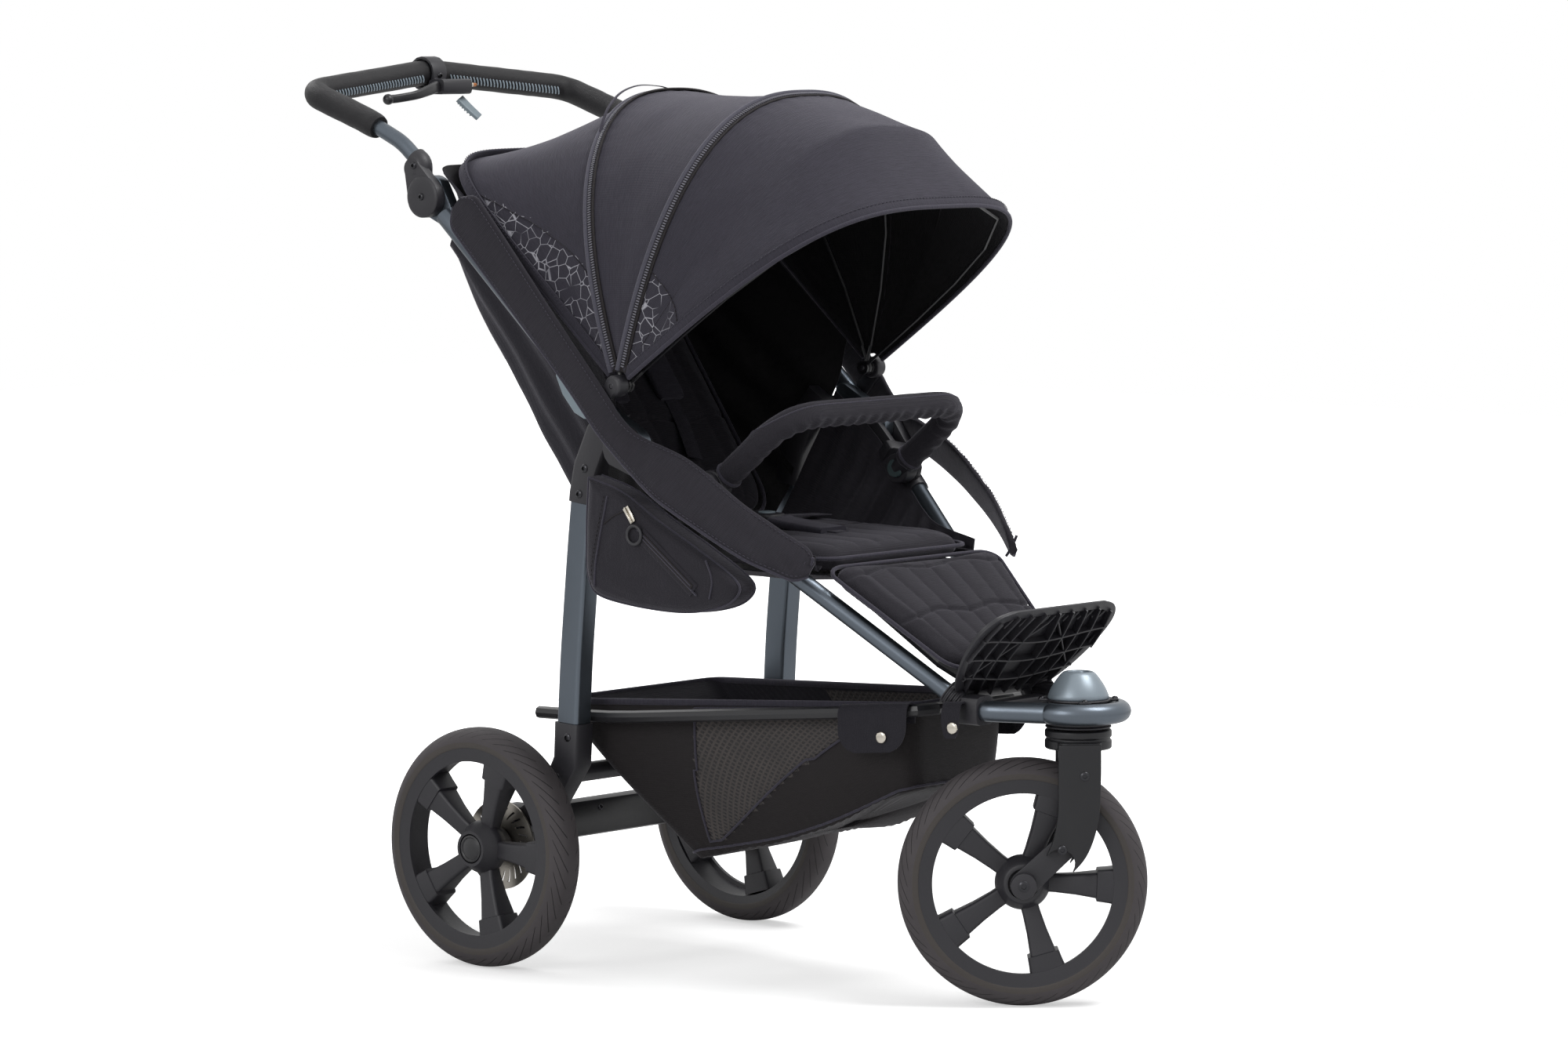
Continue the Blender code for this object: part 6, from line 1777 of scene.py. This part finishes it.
class STROLLER_OT_side_bag(Operator):
    """Makes the zipped bag on the right side, with its gussets, welt pocket and ring"""

    bl_idname = "stroller.side_bag"
    bl_label = "Side bag"

    def execute(self, context):
        middle = (-0.310, 0.552)
        outline = [(-0.186, 0.640), (-0.183, 0.590), (-0.183, 0.540), (-0.187, 0.512), (-0.206, 0.493)]
        outline += [(-0.280, 0.483), (-0.355, 0.482), (-0.415, 0.494), (-0.440, 0.513), (-0.425, 0.531)]
        outline += [(-0.370, 0.560), (-0.300, 0.594), (-0.245, 0.624)]
        loop = evenly(through([(0, *p) for p in outline + outline[:1]], 12), 132)[:-1]
        # distance from the middle and size of the outline there, from the back to the crown
        layers = [(0.2242, 0.880), (0.2275, 0.955), (0.2330, 0.992), (0.2440, 1.004), (0.2550, 0.998)]
        layers += [(0.2610, 0.984), (0.2655, 0.960), (0.2690, 0.915), (0.2708, 0.850), (0.2716, 0.740)]
        layers += [(0.2722, 0.560), (0.2726, 0.360), (0.2728, 0.160)]

        def place(point, x, scale):
            y, z = mix(middle[0], point.y, scale), mix(middle[1], point.z, scale)
            dent = noise.noise(Vector((x * 10, y * 14, z * 14))) * 0.0022
            dent += noise.noise(Vector((x, y * 40, z * 30))) * 0.0007
            sag = -0.0025 * math.exp(-(((z - 0.488) / 0.03) ** 2))
            return at(-(x + dent * (1.0 if scale < 0.99 else 0.4)), y, z + sag)

        bm = bmesh.new()
        capped(bm, [ring_of(bm, [place(p, x, scale) for p in loop]) for x, scale in layers])
        for x, scale in ((0.2612, 0.990), (0.2345, 1.002)):
            piping = [place(p, x, scale) for p in loop]
            sweep(piping + piping[:1], circle(0.0015, 8), (1, 0, 0), bm=bm, slot=1)

        def on_face(y, z):
            """The bag's outer face at this place, with its crown."""
            reach = max(abs(y - middle[0]) / 0.125, abs(z - middle[1]) / 0.085)
            x = mix(0.2728, 0.2706, min(1.0, reach) ** 2)
            return at(-(x + noise.noise(Vector((x * 10, y * 14, z * 14))) * 0.0022 + 0.0004), y, z)

        # Gusset, shoulder and front seams: their points, curve steps, radius and material slot
        gusset = ((-0.228, 0.618), (-0.217, 0.575), (-0.209, 0.536), (-0.206, 0.503))
        seams = (
            (gusset, 8, 0.0014, 1),
            (((-0.222, 0.583), (-0.240, 0.594), (-0.262, 0.603)), 6, 0.0009, 2),
            (((-0.392, 0.548), (-0.402, 0.524), (-0.398, 0.500)), 6, 0.0012, 1),
        )
        for spots, steps, radius, slot in seams:
            sweep(through([on_face(*p) for p in spots], steps), circle(radius, 8), bm=bm, slot=slot)
        beside_gusset = [p + Vector((-0.0002, 0.006, 0)) for p in through([on_face(*p) for p in gusset], 8)]
        stitch_row(bm, beside_gusset, (-1, 0, 0), slot=2)
        welt = evenly([on_face(-0.286, 0.574), on_face(-0.330, 0.5415), on_face(-0.374, 0.509)], 24)
        slant = Vector((0, 0.62, 0.78))
        sweep(welt, rounded_rectangle(0.0190, 0.0016, 0.0008, 2), slant, bm=bm)
        tape = [p + Vector((-0.0010, 0, 0)) for p in welt[1:-1]]
        sweep(tape, rounded_rectangle(0.0095, 0.0012, 0.0005, 2), slant, bm=bm, slot=2)
        for shift in (-0.0075, 0.0075):
            offset = Vector((-0.0008, 0, 0)) + slant * shift
            sweep([p + offset for p in welt], circle(0.0013, 8), bm=bm, slot=1)
        cloths = ["woven_polyester_pad", "binding_tape", "coated_polyester"]
        bag = shown("side_bag_sewn", bm, cloths, "lower_frame", ("side_bag",), smooth=60)
        self.zip_pull(on_face)
        return {"FINISHED"}

    def zip_pull(self, on_face):
        """The slider with its bow, and the round pull that hangs from it."""
        bm = bmesh.new()
        a, b = on_face(-0.262, 0.606), on_face(-0.275, 0.588)
        lift, side = Vector((-0.0022, 0, 0)), (0, 0.8, 0.6)
        sweep([a + lift, b + lift], rounded_rectangle(0.0100, 0.0034, 0.0014, 3), side, [1.0, 0.8], bm)
        sweep([a + lift * 2.2, (a + b) / 2 + lift * 3.0, b + lift * 2.2], circle(0.0013, 10), side, bm=bm)
        shown("bag_zip_slider", bm, "nickel_plated_brass", "lower_frame", edges=0.0004)
        turns = [2 * math.pi * k / 12 for k in range(12)]
        section = [(0.0022 * math.sin(a), 0.0115 + 0.0022 * math.cos(a)) for a in turns]
        ring = lathe(section, on_face(-0.278, 0.5725) + Vector((-0.0030, 0, 0)), sides=40)
        shown("bag_zip_ring", ring, "moulded_black_nylon", "lower_frame")


class STROLLER_OT_basket(Operator):
    """Makes the basket with its net windows, bound rim, flaps and press studs"""

    bl_idname = "stroller.basket"
    bl_label = "Basket"

    def execute(self, context):
        rows = [self.loop(t / BASKET_ROWS) for t in range(BASKET_ROWS + 1)]
        floor = sum(rows[-1], Vector()) / len(rows[-1])
        flat_rows = list(rows)
        for part in (0.72, 0.42, 0.16):
            rows.append([floor.lerp(p, part) + Vector((0, 0, -0.004 * (1 - part))) for p in rows[BASKET_ROWS]])
        inside = at(0, -0.33, 0.33)
        last = len(rows) - 1

        def slack(s, c, point):
            t = min(1.0, s * last / BASKET_ROWS)
            fall = noise.noise(Vector((point.y * 13, point.x * 5, point.z * 9))) * 0.0052 * t
            gather = math.sin(c * 420) * 0.0008 * math.exp(-(((t - 0.97) / 0.08) ** 2))
            return fall + gather

        wrinkled = moved_out(rows, slack, inside)
        bm = cloth_mesh(wrinkled, 0.0020, inside, self.window, closed=True, net=2)
        # The floor's two layers each have a small hole left in the middle.
        bmesh.ops.holes_fill(bm, edges=[e for e in bm.edges if e.is_boundary], sides=0)
        basket = shown("basket_sewn", bm, ["coated_polyester", "seat_back_cloth", "knitted_net"], smooth=65)
        trim = self.trims(wrinkled)
        for piece in (basket, trim):
            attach(piece, "lower_frame")
            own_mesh(piece)
        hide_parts("basket")
        width = length_of(flat_rows[0] + flat_rows[0][:1])
        area = area_of([row + row[:1] for row in flat_rows]) + 0.030
        self.flaps()
        return {"FINISHED"}

    def loop(self, t):
        """The basket's outline at this depth, 0 at the rim and 1 at the floor."""
        bulge = 1 + BASKET_BULGE * math.sin(math.pi * t)
        rear, front = (
            [mix(a, b, t) for a, b in zip(rim, floor)]
            for rim, floor in ((RIM_REAR, FLOOR_REAR), (RIM_FRONT, FLOOR_FRONT))
        )
        corners = [at(side * end[0] * bulge, *end[1:]) for side,
                   end in ((-1, rear), (-1, front), (1, front), (1, rear))]
        points = []
        for k, steps in enumerate(SIDE_STEPS):
            here, there = corners[k], corners[(k + 1) % 4]
            before, onward = (corners[k - 1] - here).normalized(), (there - here).normalized()
            start, end = here + onward * CORNER_REACH, there - onward * CORNER_REACH
            turn = here + before * CORNER_REACH
            for n in range(CORNER_STEPS):
                part = n / CORNER_STEPS
                points.append(turn * (1 - part) ** 2 + here * 2 * part * (1 - part) + start * part**2)
            sag = BASKET_SAG * t if steps == LONG_STEPS else 0.0
            for n in range(steps):
                points.append(start.lerp(end, n / steps) - Vector((0, 0, sag * math.sin(math.pi * n / steps))))
        return points

    def side_share(self, y, t):
        """How far along the side this y lies at this depth, 0 at the rear and 1 at the front."""
        rear, front = mix(RIM_REAR[1], FLOOR_REAR[1], t), mix(RIM_FRONT[1], FLOOR_FRONT[1], t)
        return (y - rear) / (front - rear)

    def net_start(self, t):
        """Where the net's upright rear edge lies along the side at this depth."""
        return self.side_share(NET_REAR_Y, t)

    def net_end(self, t):
        """How far forward the net reaches at this depth: its lower edge rises towards the front."""
        reach = min(1.0, ((0.96 - t) / 0.69) ** 0.91)
        return self.side_share(NET_REAR_Y - NET_LENGTH * reach, t)

    def window(self, s, c):
        """Slot 2, the net, inside each side's window."""
        t = s * (BASKET_ROWS + FLOOR_ROWS) / BASKET_ROWS
        place = c * (sum(SIDE_STEPS) + 4 * CORNER_STEPS)
        for first, flip in LONG_SIDES:
            along = (place - first) / LONG_STEPS
            along = 1 - along if flip else along
            if NET_TOP < t < NET_FOOT and self.net_start(t) < along < self.net_end(t):
                return 2
        return 0

    def trims(self, rows):
        """The bound rim, the window's binding and the seam above the floor."""
        bm = bmesh.new()
        rim = rows[0] + rows[0][:1]
        sweep(rim, rounded_rectangle(0.0060, 0.0085, 0.0028, 3), bm=bm)
        low = [p + Vector((0, 0, -0.0005)) for p in rows[BASKET_ROWS - 1]]
        sweep(low + low[:1], circle(0.0018, 8), (0, 0, 1), bm=bm)
        for first, flip in LONG_SIDES:

            def point(t, along, first=first, flip=flip):
                spot = first + LONG_STEPS * (1 - along if flip else along)
                k = int(spot)
                row = rows[round(t * BASKET_ROWS)]
                p = row[k].lerp(row[(k + 1) % len(row)], spot - k)
                return p + Vector((math.copysign(0.0012, p.x), 0, 0))

            depths = [mix(NET_TOP, NET_FOOT, k / 24) for k in range(25)]
            frame_line = [point(t, self.net_end(t)) for t in depths]
            frame_line += [point(t, self.net_start(t)) for t in depths[::-1]]
            ends = [mix(self.net_start(NET_TOP), self.net_end(NET_TOP), k / 12) for k in range(1, 12)]
            frame_line += [point(NET_TOP, along) for along in ends]
            sweep(frame_line + frame_line[:1], circle(0.0017, 8), bm=bm)
        return shown("basket_binding", bm, "binding_tape", smooth=60)

    def flaps(self):
        """Flaps that wrap over the basket's tube and close with press studs."""
        studs = []
        for name, side in SIDES:
            rear, front = (at(side * x, y, z) for x, y, z in FLAP_LINE)
            along = (front - rear).normalized()
            out = (Vector((side, 0, 0)) - along * along.x * side).normalized()
            rise = Vector((0, 0, 1))
            # Each flap has its place along the tube, half its width and how far it hangs.
            for index, (spot, half, drop) in enumerate(((0.868, 0.050, 0.050), (1.115, 0.013, 0.034))):
                centre = rear.lerp(front, spot)
                section = [(-0.0115, -0.016), (-0.0108, 0.0), (-0.0070, 0.0085), (0.0, 0.0112)]
                section += [(0.0075, 0.0085), (0.0110, 0.0), (0.0118, -0.5 * drop), (0.0112, -drop)]
                profile = evenly([Vector((a, b, 0)) for a, b in section], 26)
                rows = []
                for k, p in enumerate(profile):
                    round_off = math.sqrt(max(0.0, 1 - max(0.0, (k - 17) / 9.3) ** 2.4))
                    width = half * (0.35 + 0.65 * round_off) if k > 17 else half
                    row = []
                    for n in range(25):
                        u = (n / 12 - 1) * width
                        wave = noise.noise(Vector((u * 60, k * 0.2, side + index))) * 0.0012
                        row.append(centre + along * u + out * (p.x + wave) + rise * p.y)
                    rows.append(row)
                flap = shown(f"basket_flap_{index + 1}_{name}", cloth_mesh(rows, 0.0016, centre),
                             ["seat_back_cloth", "seat_back_cloth"], "lower_frame", smooth=60)
                declare_sheet(rows)
                studs.append((centre + out * 0.0125 - rise * drop * 0.62 + along * half * 0.30, out))
        head = [(-0.0010, 0.0075), (0.0010, 0.0075), (0.0022, 0.0066), (0.0027, 0.0045), (0.0024, 0.0)]
        bm = bmesh.new()
        for centre, out in studs:
            lathe(head, centre, out, 28, bm)
        shown("press_studs", bm, "nickel_plated_brass", "lower_frame")


class STROLLER_OT_footrest(Operator):
    """Makes the footrest: a moulded board with a flange, ribs below and slots along its top"""

    bl_idname = "stroller.footrest"
    bl_label = "Footrest"

    def execute(self, context):
        up = Vector((0, -0.080, 0.092)).normalized()
        out = Vector((0, -up.z, up.y))
        bottom = at(0, -0.6340, 0.3855)
        half = [(0.050, 0.000), (0.081, 0.008), (0.104, 0.030), (0.120, 0.062), (0.126, 0.092), (0.124, 0.116)]
        half += [(0.110, 0.134), (0.086, 0.142)]
        edge = through([(x, v, 0) for x, v in half], 5)
        outline = [(p.x, p.y) for p in edge] + [(-p.x, p.y) for p in reversed(edge)]

        def place(x, v, w):
            return bottom + Vector((x, 0, 0)) + up * v + out * w

        bm = extrude(outline, 0.0003, 0.0038, place)
        rim = [place(x, v, 0.0068) for x, v in outline]
        flange = rounded_rectangle(0.0034, 0.0130, 0.0012, 2)
        sweep(rim + rim[:1], flange, place(0, 0, 1) - place(0, 0, 0), bm=bm, caps=False)

        def inside(x, v):
            for a, b in zip(half, half[1:]):
                if a[1] <= v <= b[1] and abs(x) < mix(a[0], b[0], (v - a[1]) / (b[1] - a[1])):
                    return True
            return False

        def rib(points, height=0.0115, width=0.0024):
            run = []
            for x, v in points:
                if inside(x, v):
                    run.append(place(x, v, 0.0035 + height / 2 - 0.0015))
                elif len(run) > 1:
                    break
                else:
                    run = []
            if len(run) > 1:
                sweep(run, rounded_rectangle(height, width, 0.0007, 1), out, bm=bm)

        # Upright ribs that bow outward, cross ribs, two slanted ones and the comb along the top
        for k in range(-4, 5):
            bow = 0.015 * (1 if k >= 0 else -1)
            rib([(k * 0.0265 + bow * math.sin(n / 40 * math.pi), 0.003 + 0.137 * n / 40) for n in range(41)])
        for v in (0.034, 0.066, 0.098):
            rib([(mix(-0.126, 0.126, n / 60), v + 0.006 * math.cos(n / 60 * math.pi * 2)) for n in range(61)])
        for k in (-1, 1):
            rib([(k * mix(0.106, 0.010, n / 40), mix(0.030, 0.124, n / 40)) for n in range(41)], 0.0095)
        for k in range(-7, 8):
            spot = k * 0.0145
            line = [place(spot - 0.003, 0.120, 0.0050), place(spot + 0.003, 0.134, 0.0050)]
            sweep(line, rounded_rectangle(0.0060, 0.0030, 0.0010, 1), out, bm=bm)
        for k in (-1, 1):
            foot = [place(k * 0.048, 0.001, 0.006), place(k * 0.060, -0.010, 0.010)]
            sweep(foot, rounded_rectangle(0.012, 0.010, 0.003, 2), bm=bm)
        shown("footrest_moulded", bm, "moulded_black_nylon", "leg_rest", ("footrest",))
        return {"FINISHED"}


# Stage


class STROLLER_OT_stage(Operator):
    """Makes the white floor, the soft studio light and the camera"""

    bl_idname = "stroller.stage"
    bl_label = "Stage"

    def execute(self, context):
        scene = context.scene
        scene.view_settings.view_transform = "Standard"
        self.floor(scene)
        self.world(scene)
        # A broad key lamp above the front, a soft one on the near side and a rim lamp behind
        for name, place, size, power in LAMPS:
            lamp = bpy.data.lights.new(name, "AREA")
            lamp.shape, lamp.size, lamp.energy = "DISK", size, power
            self.aimed(scene, name, lamp, place, LAMP_TARGET)
        camera = bpy.data.cameras.new("camera")
        camera.lens, camera.sensor_width = CAMERA_LENS, CAMERA_SENSOR
        camera.clip_start, camera.clip_end = 0.1, 60.0
        scene.camera = self.aimed(scene, "camera", camera, CAMERA_PLACE, CAMERA_TARGET)
        return {"FINISHED"}

    def aimed(self, scene, name, data, place, target):
        """A lamp or camera at this place that looks at target."""
        obj = bpy.data.objects.new(name, data)
        scene.collection.objects.link(obj)
        obj.location = place
        obj.rotation_mode = "QUATERNION"
        obj.rotation_quaternion = (Vector(target) - Vector(place)).to_track_quat("-Z", "Y")
        return obj

    def floor(self, scene):
        """White paper under the wheels."""
        colour = scene.stroller_colours.floor
        tree, shader = start_material("studio_paper", colour, {"Roughness": 0.9, "Specular IOR Level": 0.0})
        path = add(tree, "LightPath")
        # The paper is lifted to white where the camera sees it. It keeps the shadow near the wheels and
        # fades to plain white from 0.9 to 2 m away from them.
        coordinates = add(tree, "TexCoord")
        far = add(tree, "VectorMath", {"operation": "LENGTH"}, {0: coordinates.outputs["Object"]})
        level = add(tree, "MapRange", {1: 0.9, 2: 2.0, 3: 0.50, 4: 1.3}, {0: far.outputs["Value"]})
        lift = add(tree, "Math", {"operation": "MULTIPLY"},
                   {0: path.outputs["Is Camera Ray"], 1: level.outputs[0]})
        shader.inputs["Emission Color"].default_value = (1, 1, 1, 1)
        tree.links.new(lift.outputs[0], shader.inputs["Emission Strength"])
        bump(tree, shader, object_noise(tree, 8), 0.0001)
        bm = bmesh.new()
        bmesh.ops.create_grid(bm, x_segments=4, y_segments=4, size=9.0)
        floor = place_object("studio_floor", mesh_of("studio_floor", bm), "studio_paper")
        floor.location.z = -0.0002

    def world(self, scene):
        """The even white light round the stroller."""
        world = bpy.data.worlds.new("studio_world")
        world.use_nodes = True
        scene.world = world
        tree = world.node_tree
        background = tree.nodes["Background"]
        path = add(tree, "LightPath")
        # Plain white where it is seen, and a dimmer fill where it only lights
        seen = path.outputs["Is Camera Ray"]
        for ray in ("Is Glossy Ray", "Is Transmission Ray"):
            seen = add(tree, "Math", {"operation": "MAXIMUM"}, {0: seen, 1: path.outputs[ray]}).outputs[0]
        level = add(tree, "MapRange", {3: 0.36, 4: 1.0}, {0: seen})
        background.inputs["Color"].default_value = (1, 1, 1, 1)
        tree.links.new(level.outputs[0], background.inputs["Strength"])


class STROLLER_OT_carried_over(Operator):
    """Gives the solids that are shown as they are their finished materials"""

    bl_idname = "stroller.carried_over"
    bl_label = "Carried-over solids"

    def execute(self, context):
        for node, obj in frame["nodes"].items():
            if obj.hide_render:
                continue
            coated = any(key in node for key in ("bow", "basket_frame", "leg_rest_frame"))
            found = "powder_coated_steel" if coated else "moulded_black_nylon"
            obj.data.materials.clear()
            obj.data.materials.append(MATERIALS[found])
        return {"FINISHED"}


class STROLLER_OT_materials(Operator):
    """Makes every material of the stroller"""

    bl_idname = "stroller.materials"
    bl_label = "Materials"

    def execute(self, context):
        make_materials(context.scene.stroller_colours, context.scene.stroller_sizes)
        return {"FINISHED"}


PIECES = (
    STROLLER_OT_materials,
    STROLLER_OT_stage,
    STROLLER_OT_rear_wheels,
    STROLLER_OT_front_wheel,
    STROLLER_OT_lower_frame,
    STROLLER_OT_upper_frame,
    STROLLER_OT_rear_legs,
    STROLLER_OT_handle,
    STROLLER_OT_footrest,
    STROLLER_OT_seat,
    STROLLER_OT_bumper,
    STROLLER_OT_side_bands,
    STROLLER_OT_side_bag,
    STROLLER_OT_basket,
    STROLLER_OT_canopy,
    STROLLER_OT_carried_over,
)


class STROLLER_PT_sidebar(Panel):
    """Lists the stroller's pieces in the sidebar"""

    bl_idname = "STROLLER_PT_sidebar"
    bl_label = "Sport stroller"
    bl_space_type = "VIEW_3D"
    bl_region_type = "UI"
    bl_category = "Stroller"

    def draw(self, context):
        for settings in (context.scene.stroller_sizes, context.scene.stroller_colours):
            column = self.layout.column(align=True)
            for key in type(settings).__annotations__:
                column.prop(settings, key)
        for made in PIECES:
            self.layout.operator(made.bl_idname)


CLASSES = (StrollerSizes, StrollerColours, *PIECES, STROLLER_PT_sidebar)


def register():
    for made in CLASSES:
        bpy.utils.register_class(made)
    bpy.types.Scene.stroller_sizes = PointerProperty(type=StrollerSizes)
    bpy.types.Scene.stroller_colours = PointerProperty(type=StrollerColours)


def unregister():
    del bpy.types.Scene.stroller_colours
    del bpy.types.Scene.stroller_sizes
    for made in reversed(CLASSES):
        bpy.utils.unregister_class(made)


def main():
    register()
    for made in PIECES:
        family, action = made.bl_idname.split(".")
        getattr(getattr(bpy.ops, family), action)()


if __name__ == "__main__":
    main()
